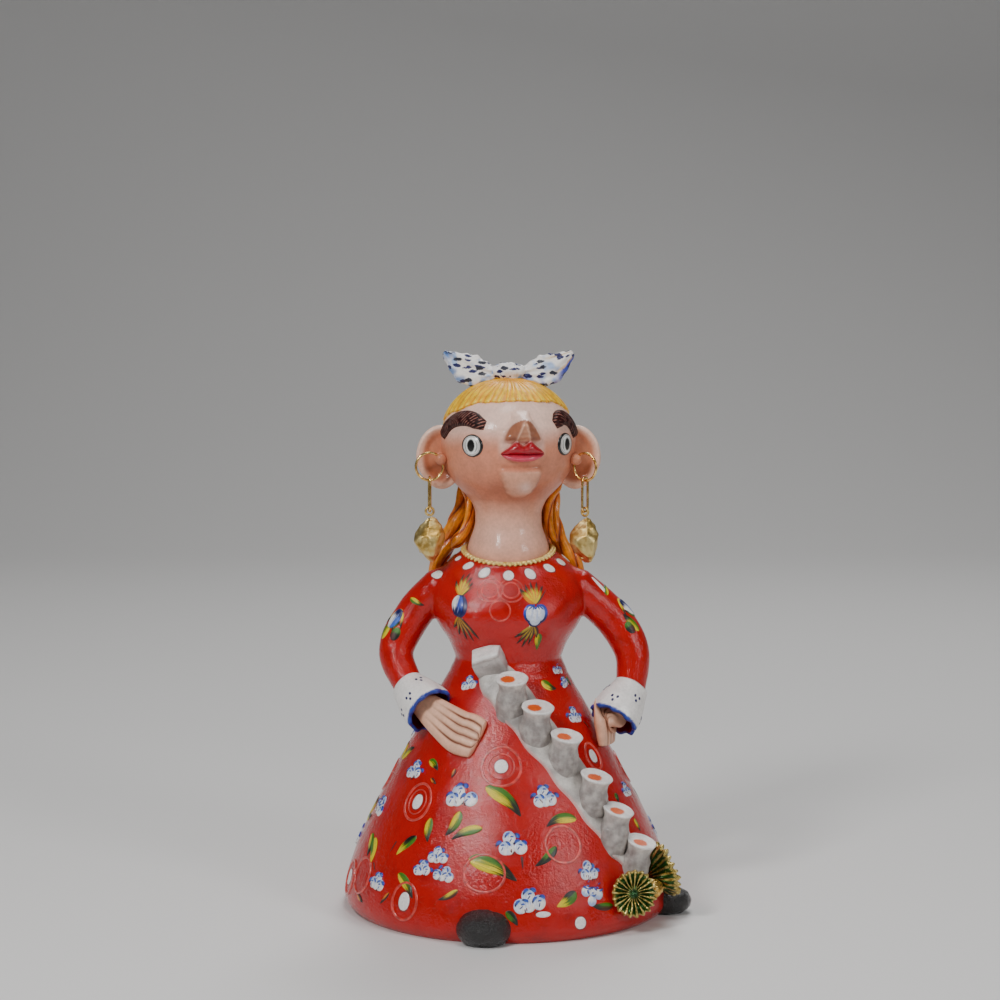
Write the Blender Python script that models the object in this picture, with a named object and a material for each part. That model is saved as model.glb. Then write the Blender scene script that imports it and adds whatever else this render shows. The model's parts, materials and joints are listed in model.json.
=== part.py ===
"""A folk figure of a lady in a flowered red dress, in painted papier-mache, as its separate pieces.

Metres, +Z up, standing on the floor plane z = 0. The lady faces -Y, and left and right are as seen from her
front: left is -X. Azimuths are degrees round the figure's upright axis from the front, positive towards +X.
Neighbouring pieces are glued together on the real figure; here they keep GAP between them.
"""

import math

import bmesh
import bpy
from mathutils import Matrix, Vector

MM = 0.001
LEFT, RIGHT = -1, 1
SIDE_NAMES = {LEFT: "left", RIGHT: "right"}
UP = Vector((0, 0, 1))
GAP = 0.3 * MM  # glue line between neighbours

# Skirt: a hollow bell, open underneath.
SKIRT_RADIUS = 73.3 * MM
SKIRT_HEIGHT = 110.0 * MM
WAIST_RADIUS = 23.0 * MM
SKIRT_WALL = 3.5 * MM
HEM_HEIGHT = 6.0 * MM  # height of the widest point of the rounded hem
HEM_ROUND = 3.5 * MM  # how far the rounded hem draws in at the floor
HEM_FLAT = 3.5 * MM  # width of the ring that stands on the floor

# Bodice: a shell that plugs into the skirt with a collar.
BODICE_HEIGHT = 48.0 * MM
BUST_HALF_WIDTH = 33.0 * MM
BUST_DEPTH = 26.0 * MM
BACK_DEPTH = 23.5 * MM
BODICE_WALL = 3.0 * MM
BODICE_EDGE = 1.6 * MM  # wall at the neckline
COLLAR_DEPTH = 7.0 * MM
NECKLINE_DROP = 4.5 * MM  # how much lower the neckline is in front than at the sides
TRIM_RADIUS = 1.0 * MM

# Neck and head.
NECK_BASE_RADIUS = 18.2 * MM
NECK_RADIUS = 14.6 * MM
NECK_LENGTH = 21.5 * MM  # neckline to the underside of the head
NECK_PLUG = 11.0 * MM  # how far the neck reaches down into the bodice
NECK_FLARE = 4.2 * MM  # how far it flares out to meet the jaw
NECK_TENON = 7.5 * MM  # how far its tenon reaches up into the head
HEAD_HALF_WIDTH = 29.6 * MM
HEAD_HALF_DEPTH = 28.4 * MM
CROWN_HEIGHT = 26.0 * MM  # widest level of the head to the crown
JAW_HEIGHT = 26.5 * MM  # widest level of the head to its underside
JAW_FULLNESS = 2.35  # 2 for a round jaw, more for a squarer one
HEAD_WALL = 3.0 * MM
FACE_TURN = 12.0  # degrees that the face is turned towards +X

# Features on the face: heights are from the widest level of the head, azimuths from the middle of the face.
EYE_RADIUS = 4.9 * MM
EYE_PROUD = 1.3 * MM
EYE_AZIMUTH = 44.0
EYE_HEIGHT = -0.3 * MM
BROW_HALF_WIDTH = 3.1 * MM
BROW_PROUD = 2.2 * MM
BROW_PATH = ((34, 8.6), (50, 10.8), (66, 10.0), (77, 7.0), (84, 3.0))  # azimuth, height in mm
BROW_SPREAD = {LEFT: 1.0, RIGHT: 0.58}  # length of each brow, as a share of the path
NOSE_PROFILE = (  # height, half width, how proud, all in mm
    (2.3, 7.4, 2.4),
    (3.8, 8.2, 3.6),
    (6.2, 6.6, 5.4),
    (8.8, 4.4, 7.2),
    (10.9, 2.8, 8.2),
    (12.6, 2.2, 6.8),
    (14.6, 1.6, 2.6),
    (16.2, 1.0, 0.9),
)
MOUTH_HEIGHT = -3.4 * MM
LIP_AZIMUTH = 18.5
LIP_PROUD = 4.4 * MM
UPPER_LIP_HEIGHT = 5.2 * MM
LOWER_LIP_HEIGHT = 3.4 * MM
CHIN_HALF_WIDTH = 8.6 * MM
CHIN_HALF_HEIGHT = 6.0 * MM
CHIN_PROUD = 3.6 * MM
CHIN_LEVEL = -15.5 * MM

# Ears, each with a pierced lug in front for the earring.
EAR_AZIMUTH = 84.0
EAR_HALF_HEIGHT = 14.2 * MM
EAR_HALF_REACH = 11.2 * MM
EAR_THICKNESS = 5.0 * MM
EAR_DISH = 1.6 * MM  # depth of the hollow in the front of the ear
EAR_LEVEL = -7.0 * MM
LUG_RADIUS = 2.6 * MM
LUG_LENGTH = 4.6 * MM
PIERCE_AZIMUTH = 73.0
PIERCE_LEVEL = -7.2 * MM
PIERCE_PROUD = 1.7 * MM
PIERCE_RADIUS = 1.4 * MM

# Earrings: hoop, link and drop.
WIRE_RADIUS = 0.55 * MM
HOOP_RADIUS = 6.0 * MM
HOOP_REACH_AZIMUTH = {LEFT: -80.0, RIGHT: 50.0}  # the way that each hoop stands out from its ear
HOOP_PIERCE_ANGLE = math.radians(31)  # pierced point of the hoop above its level diameter
LINK_BEND_RADIUS = 1.9 * MM
LINK_LENGTH = 15.0 * MM
DROP_HALF_WIDTH = 7.2 * MM
DROP_HALF_DEPTH = 6.0 * MM
DROP_LENGTH = 21.5 * MM
DROP_EYE_RADIUS = 1.3 * MM
DROP_TAB_HALF_WIDTH = 2.5 * MM
DROP_TAB_HALF_DEPTH = 0.8 * MM

# Hair: a cap of combed hair, and locks that hang behind the neck and over the shoulders.
CAP_THICKNESS = 2.0 * MM
CAP_EDGE = 1.2 * MM
HAIRLINE = ((0, 18.4), (45, 17.6), (80, 13.0), (104, 8.8), (166, -17.5), (180, -17.5))  # azimuth, mm
LOCK_FLATNESS = 0.72
LOCK_HEAD_HALF_WIDTH = 29.6 * MM  # half width of the head that the points below hang from
LOCK_NECK_RADIUS = 14.6 * MM  # radius of the neck that the nearest of them lie against
LOCKS = {  # points down each lock: azimuth, distance from the axis, height above the neckline, half width, in mm
    "hair_lock_left_front": (
        (-110, 23.5, 31, 1.8),
        (-114, 18.6, 21, 2.8),
        (-108, 18.8, 11, 3.0),
        (-102, 21.5, 4.5, 2.9),
        (-97, 26.5, 0.5, 2.0),
    ),
    "hair_lock_left_side": (
        (-137, 28, 37.5, 3.2),
        (-131, 25, 23, 4.6),
        (-122, 25, 12, 5.4),
        (-116, 30, 2.0, 5.6),
        (-114, 34, -6.5, 5.4),
        (-118, 36, -15, 4.8),
        (-127, 36, -25, 3.8),
        (-131, 34, -35, 2.2),
    ),
    "hair_lock_left_back": (
        (-158, 25, 33, 3.8),
        (-154, 25, 22, 5.1),
        (-150, 24, 10, 6.0),
        (-149, 26, -2, 6.2),
        (-150, 29, -14, 6.0),
        (-154, 29, -26, 4.6),
        (-158, 27, -38, 2.4),
    ),
    "hair_lock_back": (
        (180, 25, 32, 4.0),
        (180, 25, 21, 5.6),
        (180, 24, 9, 5.9),
        (180, 25.5, -4, 6.1),
        (180, 28, -16, 6.0),
        (180, 28.5, -28, 4.6),
        (180, 27.5, -40, 2.4),
    ),
    "hair_lock_right_back": (
        (158, 25, 33, 3.8),
        (154, 25, 22, 5.1),
        (150, 24, 10, 6.0),
        (149, 26, -2, 6.2),
        (150, 29, -14, 6.0),
        (154, 29, -26, 4.6),
        (158, 27, -38, 2.4),
    ),
    "hair_lock_right_side": (
        (137, 28, 37.5, 3.2),
        (131, 25, 22, 4.4),
        (122, 23.5, 11, 4.6),
        (115, 25, 2.5, 4.2),
        (111, 29.5, -4, 3.8),
        (112, 34, -11, 3.4),
        (120, 36, -21, 3.0),
        (127, 35, -31, 2.0),
    ),
    "hair_lock_right_front": (
        (104, 24.5, 29.5, 1.8),
        (105, 19.2, 22, 2.6),
        (103, 18.0, 13.5, 2.7),
        (102, 19.6, 6.5, 2.6),
        (101, 22.5, 2.5, 1.9),
    ),
}

# Bow on the crown.
KNOT_RADII = (7.2 * MM, 4.6 * MM, 3.8 * MM)
BOW_LENGTH = 25.0 * MM
BOW_HALF_WIDTH = 6.6 * MM
BOW_FLATNESS = 0.38
BOW_RISE = 21.0  # degrees
BOW_SAG = 2.4 * MM  # how far the middle of each loop hangs below a straight line

# Arms, cuffs and hands. Places are azimuth, distance from the axis, height from the waist.
SHOULDER_PLACE = (90.0, 30.0 * MM, 32.0 * MM)
UPPER_ARM_PLACE = {LEFT: (-92.0, 41.5 * MM, 19.5 * MM), RIGHT: (92.0, 46.5 * MM, 17.0 * MM)}
ELBOW_PLACE = {LEFT: (-87.0, 49.6 * MM, 3.2 * MM), RIGHT: (88.0, 54.6 * MM, 2.6 * MM)}
WRIST_PLACE = {LEFT: (-77.0, 45.0 * MM, -11.6 * MM), RIGHT: (84.0, 54.4 * MM, -12.6 * MM)}
CUFF_PLACE = {LEFT: (-51.0, 40.5 * MM, -22.0 * MM), RIGHT: (72.0, 48.0 * MM, -25.5 * MM)}
ARM_RADIUS = 8.3 * MM
WRIST_RADIUS = 6.2 * MM
CUFF_OVERLAP = 6.0 * MM  # arm inside its cuff
CUFF_LENGTH = 18.0 * MM
CUFF_RIM_RADIUS = 11.3 * MM
CUFF_WALL = 1.6 * MM
HAND_ROOT_RADIUS = 4.6 * MM
HAND_HALF_WIDTH = 9.6 * MM
HAND_THICKNESS = 5.4 * MM
KNUCKLE_PLACE = {LEFT: (-35.0, -27.0 * MM), RIGHT: (73.0, -27.5 * MM)}  # azimuth, height from the waist
KNUCKLE_PROUD = {LEFT: 1.6 * MM, RIGHT: 6.5 * MM}  # above the skirt
TIP_PLACE = {LEFT: (-18.0, -30.0 * MM), RIGHT: (72.0, -37.5 * MM)}

# Sash of rolled pleats down the front of the skirt. Places are azimuth, height, on a skirt of
# SASH_SKIRT_HEIGHT; so are the rosette's.
SASH_SKIRT_HEIGHT = 110.0 * MM
SASH_PATH = ((-17, 108.0), (3, 97.5), (19, 84.5), (32, 69.5), (41, 54.0), (48, 40.0), (53, 27.0))
SASH_HALF_WIDTH = 8.6 * MM
SASH_THICKNESS = 1.8 * MM
ROLL_RADIUS = 6.2 * MM
ROLL_FOOT_RADIUS = 5.6 * MM
ROLL_LENGTH = 24.0 * MM
ROLL_PROUD = 9.0 * MM  # middle of a roll's top above the skirt's surface
ROLL_TILT = 18.0  # degrees that a roll leans outwards
ROLL_PLACES = ((2.4, 102.4), (17.6, 90.9), (31.0, 78.8), (40.6, 61.9), (45.9, 47.9), (51.9, 34.3))
FLAP_PLACE = (-19.0, 1.6 * MM)  # azimuth, height from the waist
FLAP_RADII = (7.6 * MM, 4.6 * MM, 7.8 * MM)

# Rosette at the hem, and the shoes under it.
KNOB_PLACE = (54.5, 15.5 * MM)
KNOB_RADIUS = 4.4 * MM
KNOB_PROUD = 4.0 * MM
FRILL_PLACES = {"front": (43.5, 16.0 * MM), "side": (65.5, 20.5 * MM)}
FRILL_PROUD = {"front": 6.4 * MM, "side": 5.0 * MM}
FRILL_FACING = {"front": 18.0, "side": 112.0}  # azimuth that each frill opens towards
FRILL_RADIUS = {"front": 9.8 * MM, "side": 11.8 * MM}
FRILL_DEPTH = 8.0 * MM
FRILL_WALL = 1.6 * MM
SHOE_AZIMUTH = {"front": -8.5, "side": 75.0}
SHOE_REACH = {"front": 7.6 * MM, "side": 10.0 * MM}  # beyond the hem
SHOE_HALF_WIDTH = {"front": 12.6 * MM, "side": 10.0 * MM}
SHOE_HALF_LENGTH = {"front": 13.0 * MM, "side": 15.0 * MM}
SHOE_HEIGHT = {"front": 15.5 * MM, "side": 12.5 * MM}

# Levels worked out from the sizes above.
WAIST_LEVEL = SKIRT_HEIGHT
NECKLINE_LEVEL = WAIST_LEVEL + GAP + BODICE_HEIGHT
HEAD_BASE_LEVEL = NECKLINE_LEVEL + NECK_LENGTH
HEAD_LEVEL = HEAD_BASE_LEVEL + JAW_HEIGHT  # widest level of the head
DEPTH_SHARE = HEAD_HALF_DEPTH / HEAD_HALF_WIDTH

RED, SKIN, PALE_SKIN = (0.62, 0.012, 0.008), (0.80, 0.47, 0.35), (0.86, 0.62, 0.50)
WHITE, YELLOW, ORANGE = (0.80, 0.79, 0.75), (0.85, 0.55, 0.06), (0.72, 0.26, 0.03)
BROWN, BLACK, PINK = (0.06, 0.012, 0.01), (0.012, 0.010, 0.010), (0.62, 0.03, 0.06)
GOLD, BRASS, GREEN = (0.62, 0.42, 0.12), (0.78, 0.57, 0.22), (0.10, 0.28, 0.05)


# ---------------------------------------------------------------- geometry helpers


def direction(azimuth):
    angle = math.radians(azimuth)
    return Vector((math.sin(angle), -math.cos(angle), 0))


def ring(centre, across, along, half_width, half_depth, sides, power=1.0):
    """An ellipse of points, or a squarer ring where power is under 1."""
    points = []
    for i in range(sides):
        angle = 2 * math.pi * i / sides
        c, s = math.cos(angle), math.sin(angle)
        points.append(
            centre
            + across * half_width * math.copysign(abs(c) ** power, c)
            + along * half_depth * math.copysign(abs(s) ** power, s)
        )
    return points


def bezier(points, steps):
    """Points of the cubic through four control points, ends included."""
    a, b, c, d = (Vector(p) for p in points)
    found = []
    for i in range(steps + 1):
        t = i / steps
        u = 1 - t
        found.append(a * u**3 + b * 3 * u * u * t + c * 3 * u * t * t + d * t**3)
    return found


def smooth_path(points, steps):
    """A smooth curve through the points, with this many steps in each span."""
    knots = [points[0] * 2 - points[1], *points, points[-1] * 2 - points[-2]]
    found = []
    for i in range(1, len(knots) - 2):
        before, start, end, after = knots[i - 1 : i + 3]
        for step in range(steps):
            t = step / steps
            found.append(
                0.5
                * (
                    start * 2
                    + (end - before) * t
                    + (before * 2 - start * 5 + end * 4 - after) * t * t
                    + (start * 3 - before - end * 3 + after) * t**3
                )
            )
    return [*found, points[-1].copy()]


def read_off(table, at):
    """The value that a table of (place, value) rows gives at a place, turning smoothly at each row."""
    rows = list(table)
    if at <= rows[0][0]:
        return rows[0][1]
    for (low, first), (high, second) in zip(rows, rows[1:], strict=False):
        if at <= high:
            share = (at - low) / (high - low)
            share = share * share * (3 - 2 * share)
            return first + (second - first) * share
    return rows[-1][1]


def offset_outline(outline, distance):
    """An outline of (radius, height) moved sideways: outwards where distance is positive, for a rising outline."""
    moved = []
    for i, (radius, height) in enumerate(outline):
        before, after = outline[max(i - 1, 0)], outline[min(i + 1, len(outline) - 1)]
        along = Vector((after[0] - before[0], after[1] - before[1])).normalized()
        moved.append((max(radius + along.y * distance, 0.0), height - along.x * distance))
    return moved


# ---------------------------------------------------------------- object helpers

materials = {}


def material(name, colour, roughness, metallic=0.0):
    if name not in materials:
        made = bpy.data.materials.new(name)
        made.use_nodes = True
        shader = made.node_tree.nodes["Principled BSDF"]
        shader.inputs["Base Color"].default_value = (*colour, 1)
        shader.inputs["Roughness"].default_value = roughness
        shader.inputs["Metallic"].default_value = metallic
        materials[name] = made
    return materials[name]


def link_object(name, mesh):
    made = bpy.data.objects.new(name, mesh)
    bpy.context.scene.collection.objects.link(made)
    made.parent = figure
    return made


def mesh_of(build):
    """A mesh from a function that fills a bmesh, smooth apart from its sharp edges."""
    shape = bmesh.new()
    build(shape)
    bmesh.ops.remove_doubles(shape, verts=shape.verts, dist=0.00001)
    bmesh.ops.recalc_face_normals(shape, faces=shape.faces)
    mesh = bpy.data.meshes.new("shape")
    shape.to_mesh(mesh)
    shape.free()
    mesh.shade_smooth()
    mesh.set_sharp_from_angle(angle=math.radians(40))
    return mesh


def skinned(rings, looped=False):
    """A closed mesh over rings of points: capped at both ends, or joined end to end where looped."""

    def build(shape):
        loops = [[shape.verts.new(point) for point in points] for points in rings]
        pairs = list(zip(loops, loops[1:], strict=False))
        if looped:
            pairs.append((loops[-1], loops[0]))
        for first, second in pairs:
            for i, corner in enumerate(first):
                j = (i + 1) % len(first)
                shape.faces.new((corner, first[j], second[j], second[i]))
        if not looped:
            shape.faces.new(loops[0][::-1])
            shape.faces.new(loops[-1])

    return mesh_of(build)


def turned(outline, sides, frame=None, depth_share=1.0, looped=False):
    """The mesh that an outline of (radius, height) makes when it is turned round an axis."""
    frame = frame or Matrix.Identity(4)
    rings = []
    for radius, height in outline:
        flat = ring(Vector((0, 0, height)), Vector((1, 0, 0)), Vector((0, 1, 0)), radius, radius * depth_share, sides)
        rings.append([frame @ point for point in flat])
    return skinned(rings, looped)


def swept(path, radii, sides, flat=None):
    """A tube along a path. flat gives (outward directions, shares) for a tube flattened along those directions."""
    rings = []
    across = None
    shares = [1.0] * len(path)
    if flat:
        shares = flat[1] if isinstance(flat[1], list) else [flat[1]] * len(path)
    for i, point in enumerate(path):
        tangent = (path[min(i + 1, len(path) - 1)] - path[max(i - 1, 0)]).normalized()
        if flat:
            across = tangent.cross(flat[0][i]).normalized()
        elif across is None:
            across = tangent.orthogonal().normalized()
        else:
            across = (across - tangent * across.dot(tangent)).normalized()
        along = tangent.cross(across)
        rings.append(ring(point, across, along, radii[i], radii[i] * shares[i], sides))
    return skinned(rings)


def closed_loop(path, radius, sides):
    """A wire that runs round a closed flat path."""
    centre = sum(path, Vector()) / len(path)
    normal = (path[0] - centre).cross(path[1] - centre).normalized()
    rings = []
    for i, point in enumerate(path):
        tangent = (path[(i + 1) % len(path)] - path[i - 1]).normalized()
        rings.append(ring(point, tangent.cross(normal), normal, radius, radius, sides))
    return skinned(rings, looped=True)


def blob(centre, axes, radii, rings=7, sides=14, power=1.0):
    """An ellipsoid, or a squarer pad where power is under 1, on three axes."""
    loops = []
    for i in range(1, rings):
        angle = math.pi * i / rings - math.pi / 2
        height, width = math.sin(angle), math.cos(angle)
        height = math.copysign(abs(height) ** power, height)
        width = width**power
        middle = centre + axes[2] * radii[2] * height
        loops.append(ring(middle, axes[0], axes[1], radii[0] * width, radii[1] * width, sides, power))
    return skinned(loops)


def piece(name, mesh, paint):
    made = link_object(name, mesh)
    made.data.materials.append(paint)
    return made


def hang(made, pivot, carrier=None, carrier_pivot=None):
    """Puts a piece's origin at its pivot, and hangs it from the piece that carries it."""
    made.data.transform(Matrix.Translation(-pivot))
    made.location = pivot
    if carrier:
        made.parent = carrier
        made.location = pivot - carrier_pivot
    return made


def cutter(mesh):
    made = link_object("cutter", mesh)
    made.hide_render = True
    made.display_type = "WIRE"
    return made


def cut(target, *cutters):
    for tool in cutters:
        modifier = target.modifiers.new("cut", "BOOLEAN")
        modifier.operation = "DIFFERENCE"
        modifier.solver = "EXACT"
        modifier.object = tool
    return target


def joined(target, mesh):
    """Adds a second shape to a piece by a union."""
    other = cutter(mesh)
    modifier = target.modifiers.new("join", "BOOLEAN")
    modifier.operation = "UNION"
    modifier.solver = "EXACT"
    modifier.object = other
    return target


# ---------------------------------------------------------------- surfaces of the main forms
# Each gives a point at an azimuth and a height. The head measures both from the face and the widest level.

SKIRT_CURVE = bezier(
    (
        (SKIRT_RADIUS, 0, HEM_HEIGHT),
        (0.97 * SKIRT_RADIUS, 0, 0.27 * SKIRT_HEIGHT),
        (0.575 * SKIRT_RADIUS, 0, 0.68 * SKIRT_HEIGHT),
        (WAIST_RADIUS, 0, SKIRT_HEIGHT),
    ),
    14,
)
SKIRT_OUTLINE = [
    (SKIRT_RADIUS - HEM_ROUND, 0.0),
    (SKIRT_RADIUS - 0.35 * HEM_ROUND, 0.33 * HEM_HEIGHT),
    *((point.x, point.z) for point in SKIRT_CURVE),
]
BODICE_ROWS = (  # height, half width, depth in front and depth behind, as shares of the bodice's sizes
    (0.17, 0.80, 0.91, 0.95),
    (0.32, 0.94, 1.00, 1.00),
    (0.46, 1.02, 1.03, 1.02),
    (0.62, 1.05, 0.97, 1.00),
    (0.77, 0.96, 0.85, 0.93),
    (0.90, 0.79, 0.78, 0.84),
)
NECKLINE_RADIUS = NECK_BASE_RADIUS + GAP + BODICE_EDGE
BODICE_CURVE = smooth_path(
    [
        Vector((0, WAIST_RADIUS, WAIST_RADIUS, WAIST_RADIUS)),
        *(
            Vector((high * BODICE_HEIGHT, wide * BUST_HALF_WIDTH, front * BUST_DEPTH, back * BACK_DEPTH))
            for high, wide, front, back in BODICE_ROWS
        ),
        Vector((BODICE_HEIGHT, NECKLINE_RADIUS, NECKLINE_RADIUS, NECKLINE_RADIUS)),
    ],
    2,
)
BUST_SPREAD = 29.0
BUST_LEVEL = 0.44 * BODICE_HEIGHT
BUST_PROUD = 2.6 * MM


def skirt(azimuth, height):
    points = SKIRT_OUTLINE
    for (low_radius, low), (high_radius, high) in zip(points, points[1:], strict=False):
        if height <= high or high == points[-1][1]:
            share = (height - low) / (high - low)
            return direction(azimuth) * (low_radius + (high_radius - low_radius) * share) + UP * height
    return None


def bodice(azimuth, height):
    """Height is from the waist; the neckline dips at the front and rises behind."""
    rise = min(max(height, 0), BODICE_HEIGHT)
    for below, above in zip(BODICE_CURVE, BODICE_CURVE[1:], strict=False):
        if rise <= above[0] or above is BODICE_CURVE[-1]:
            row = below.lerp(above, min((rise - below[0]) / (above[0] - below[0]), 1))
            break
    out = direction(azimuth)
    depth = row[2] if out.y < 0 else row[3]
    off_middle = (abs(((azimuth + 180) % 360) - 180) - BUST_SPREAD) / 17
    bust = BUST_PROUD * math.exp(-(off_middle**2)) * math.exp(-(((rise - BUST_LEVEL) / (0.17 * BODICE_HEIGHT)) ** 2))
    tilt = NECKLINE_DROP * (rise / BODICE_HEIGHT) ** 4 * (out.y if out.y < 0 else 0.5 * out.y)
    return Vector((out.x * (row[1] + bust), out.y * (depth + bust), WAIST_LEVEL + GAP + height + tilt))


def head(azimuth, rise):
    out = direction(azimuth + FACE_TURN)
    if rise >= 0:
        spread = math.sqrt(max(1 - (rise / CROWN_HEIGHT) ** 2, 0))
    else:
        spread = max(1 - (-rise / JAW_HEIGHT) ** JAW_FULLNESS, 0) ** (1 / JAW_FULLNESS)
    return Vector((out.x * HEAD_HALF_WIDTH * spread, out.y * HEAD_HALF_DEPTH * spread, HEAD_LEVEL + rise))


def normal_of(surface, azimuth, height):
    around = surface(azimuth + 0.5, height) - surface(azimuth - 0.5, height)
    upward = surface(azimuth, height + 0.2 * MM) - surface(azimuth, height - 0.2 * MM)
    return around.cross(upward).normalized()


def off(surface, azimuth, height, proud):
    return surface(azimuth, height) + normal_of(surface, azimuth, height) * proud


def axes_on(surface, azimuth, height):
    """Directions on a surface: round it, out of it, and up along it."""
    out = normal_of(surface, azimuth, height)
    around = UP.cross(out).normalized()
    return around, out, out.cross(around)


def frame_of(origin, along):
    """A frame whose Z axis runs along a direction."""
    across = along.orthogonal().normalized()
    rows = Matrix((across, along.cross(across).normalized(), along.normalized())).transposed()
    return Matrix.Translation(origin) @ rows.to_4x4()


def shell(surface, heights, grow, sides):
    """Rings round a surface, moved outwards by grow."""
    return [[off(surface, 360 * i / sides, height, grow) for i in range(sides)] for height in heights]


# ---------------------------------------------------------------- solids used whole and as cutters

SKIRT_SIDES, BODICE_SIDES, HEAD_SIDES, TRIM_SIDES = 40, 32, 32, 32


def skirt_solid(grow=0.0, extra=3 * MM):
    outline = offset_outline(SKIRT_OUTLINE, grow)
    outline = [(outline[0][0], -extra), *outline, (outline[-1][0], outline[-1][1] + extra)]
    return turned(outline, SKIRT_SIDES)


def bodice_solid(grow=0.0):
    heights = [row[0] for row in BODICE_CURVE]
    rings = shell(bodice, heights, grow, BODICE_SIDES)
    top = [point + UP * grow for point in rings[-1]]
    bottom = [point - UP * 3 * MM for point in rings[0]]
    return skinned([bottom, *rings, top])


def head_rises():
    turns = [math.radians(angle) for angle in (86.5, 70, 55, 41, 27, 13)]
    lower = [-JAW_HEIGHT * math.sin(turn) for turn in turns]
    return [*lower, 0.0, *(CROWN_HEIGHT * math.sin(turn) for turn in reversed(turns))]


def head_solid(grow=0.0):
    rises = head_rises()
    rings = shell(head, rises, grow, HEAD_SIDES)
    return skinned(rings)


def jaw_level(radius):
    """Height of the head's underside at a distance from the axis."""
    share = 1 - (radius / HEAD_HALF_WIDTH) ** JAW_FULLNESS
    return HEAD_LEVEL - JAW_HEIGHT * share ** (1 / JAW_FULLNESS)


def neck_outline(grow=0.0):
    """The neck flares out at the top to meet the jaw, round a tenon that reaches up into the head."""
    flare = NECK_RADIUS + NECK_FLARE
    return [
        (NECK_BASE_RADIUS - 2.2 * MM + grow, NECKLINE_LEVEL - NECK_PLUG - grow),
        (NECK_BASE_RADIUS - 0.3 * MM + grow, NECKLINE_LEVEL - 6 * MM),
        (NECK_BASE_RADIUS + grow, NECKLINE_LEVEL - 2 * MM),
        (NECK_BASE_RADIUS - 0.5 * MM + grow, NECKLINE_LEVEL + 2.5 * MM),
        (0.5 * (NECK_BASE_RADIUS + NECK_RADIUS) + grow, NECKLINE_LEVEL + 8 * MM),
        (NECK_RADIUS + grow, NECKLINE_LEVEL + 0.68 * NECK_LENGTH),
        (NECK_RADIUS + 0.12 * NECK_FLARE + grow, HEAD_BASE_LEVEL - 3 * MM),
        (NECK_RADIUS + 0.4 * NECK_FLARE + grow, HEAD_BASE_LEVEL + 0.3 * MM),
        (flare + grow, jaw_level(flare) - 2 * GAP + grow),
        (NECK_RADIUS + grow, jaw_level(NECK_RADIUS) - 2 * GAP + grow),
        (NECK_RADIUS + grow, HEAD_BASE_LEVEL + NECK_TENON + grow),
    ]


def cap_solid(grow=0.0):
    """The hair cap from the crown out to the hairline; its underside lies inside the head."""
    outer, inner = [], []
    for row in (0.03, 0.2, 0.4, 0.6, 0.8, 1.0):
        thickness = CAP_EDGE + (CAP_THICKNESS - CAP_EDGE) * (1 - row**3) + grow
        outer_ring, inner_ring = [], []
        for i in range(HEAD_SIDES):
            azimuth = 360 * i / HEAD_SIDES
            from_face = abs(((azimuth + 180) % 360) - 180)
            edge = read_off(HAIRLINE, from_face) * MM - grow
            last = math.acos(edge / CROWN_HEIGHT) if edge > 0 else 0.5 * math.pi + math.asin(-edge / JAW_HEIGHT)
            turn = last * row
            rise = CROWN_HEIGHT * math.cos(turn) if edge > 0 or turn < 0.5 * math.pi else JAW_HEIGHT * math.cos(turn)
            outer_ring.append(off(head, azimuth, rise, thickness))
            inner_ring.append(off(head, azimuth, rise, -1.5 * MM))
        outer.append(outer_ring)
        inner.append(inner_ring)
    return skinned([*outer, *reversed(inner)])


def as_tall(height):
    """A height of the sash or the rosette, on the skirt as tall as it is."""
    return height * (SKIRT_HEIGHT / SASH_SKIRT_HEIGHT)


def sash_solid(grow=0.0):
    points = smooth_path([skirt(azimuth, as_tall(height * MM)) for azimuth, height in SASH_PATH], 3)
    outward = [Vector((point.x, point.y, 0.5 * SKIRT_RADIUS)).normalized() for point in points]
    points[0] += (points[0] - points[1]).normalized() * grow
    points[-1] += (points[-1] - points[-2]).normalized() * grow
    radii = [SASH_HALF_WIDTH * share + grow for share in [0.8, *[1.0] * (len(points) - 2), 0.7]]
    return swept(points, radii, 12, flat=(outward, (SASH_THICKNESS + grow) / (SASH_HALF_WIDTH + grow)))


# ---------------------------------------------------------------- the dress


def build_skirt(paint):
    inner = offset_outline(SKIRT_OUTLINE, -SKIRT_WALL)
    foot = (SKIRT_RADIUS - HEM_ROUND - HEM_FLAT, 0.0)
    top = (WAIST_RADIUS - SKIRT_WALL, SKIRT_HEIGHT)
    inside = [point for point in inner[4:-1:2] if point[1] < SKIRT_HEIGHT - 2 * MM]
    piece("skirt_shell", turned([foot, *SKIRT_OUTLINE, top, *reversed(inside)], SKIRT_SIDES, looped=True), paint)


def build_bodice(paint):
    heights = [row[0] for row in BODICE_CURVE]
    outer = shell(bodice, heights, 0.0, BODICE_SIDES)
    inner = shell(bodice, heights[2:-3:2], -BODICE_WALL, BODICE_SIDES)
    edge = [Vector((point.x, point.y, 0)).normalized() * (NECKLINE_RADIUS - BODICE_EDGE) for point in outer[-1]]
    edge = [flat + UP * point.z for flat, point in zip(edge, outer[-1], strict=True)]
    under_edge = [point - UP * 3 * MM for point in edge]
    collar = WAIST_RADIUS - SKIRT_WALL - GAP
    low, high = WAIST_LEVEL - COLLAR_DEPTH, WAIST_LEVEL + GAP
    rings = [[direction(360 * i / BODICE_SIDES) * radius + UP * height for i in range(BODICE_SIDES)]
             for radius, height in ((collar - BODICE_WALL, low), (collar, low), (collar, high))]
    piece("bodice_shell", skinned([*rings, *outer, edge, under_edge, *reversed(inner)], looped=True), paint)


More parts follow.
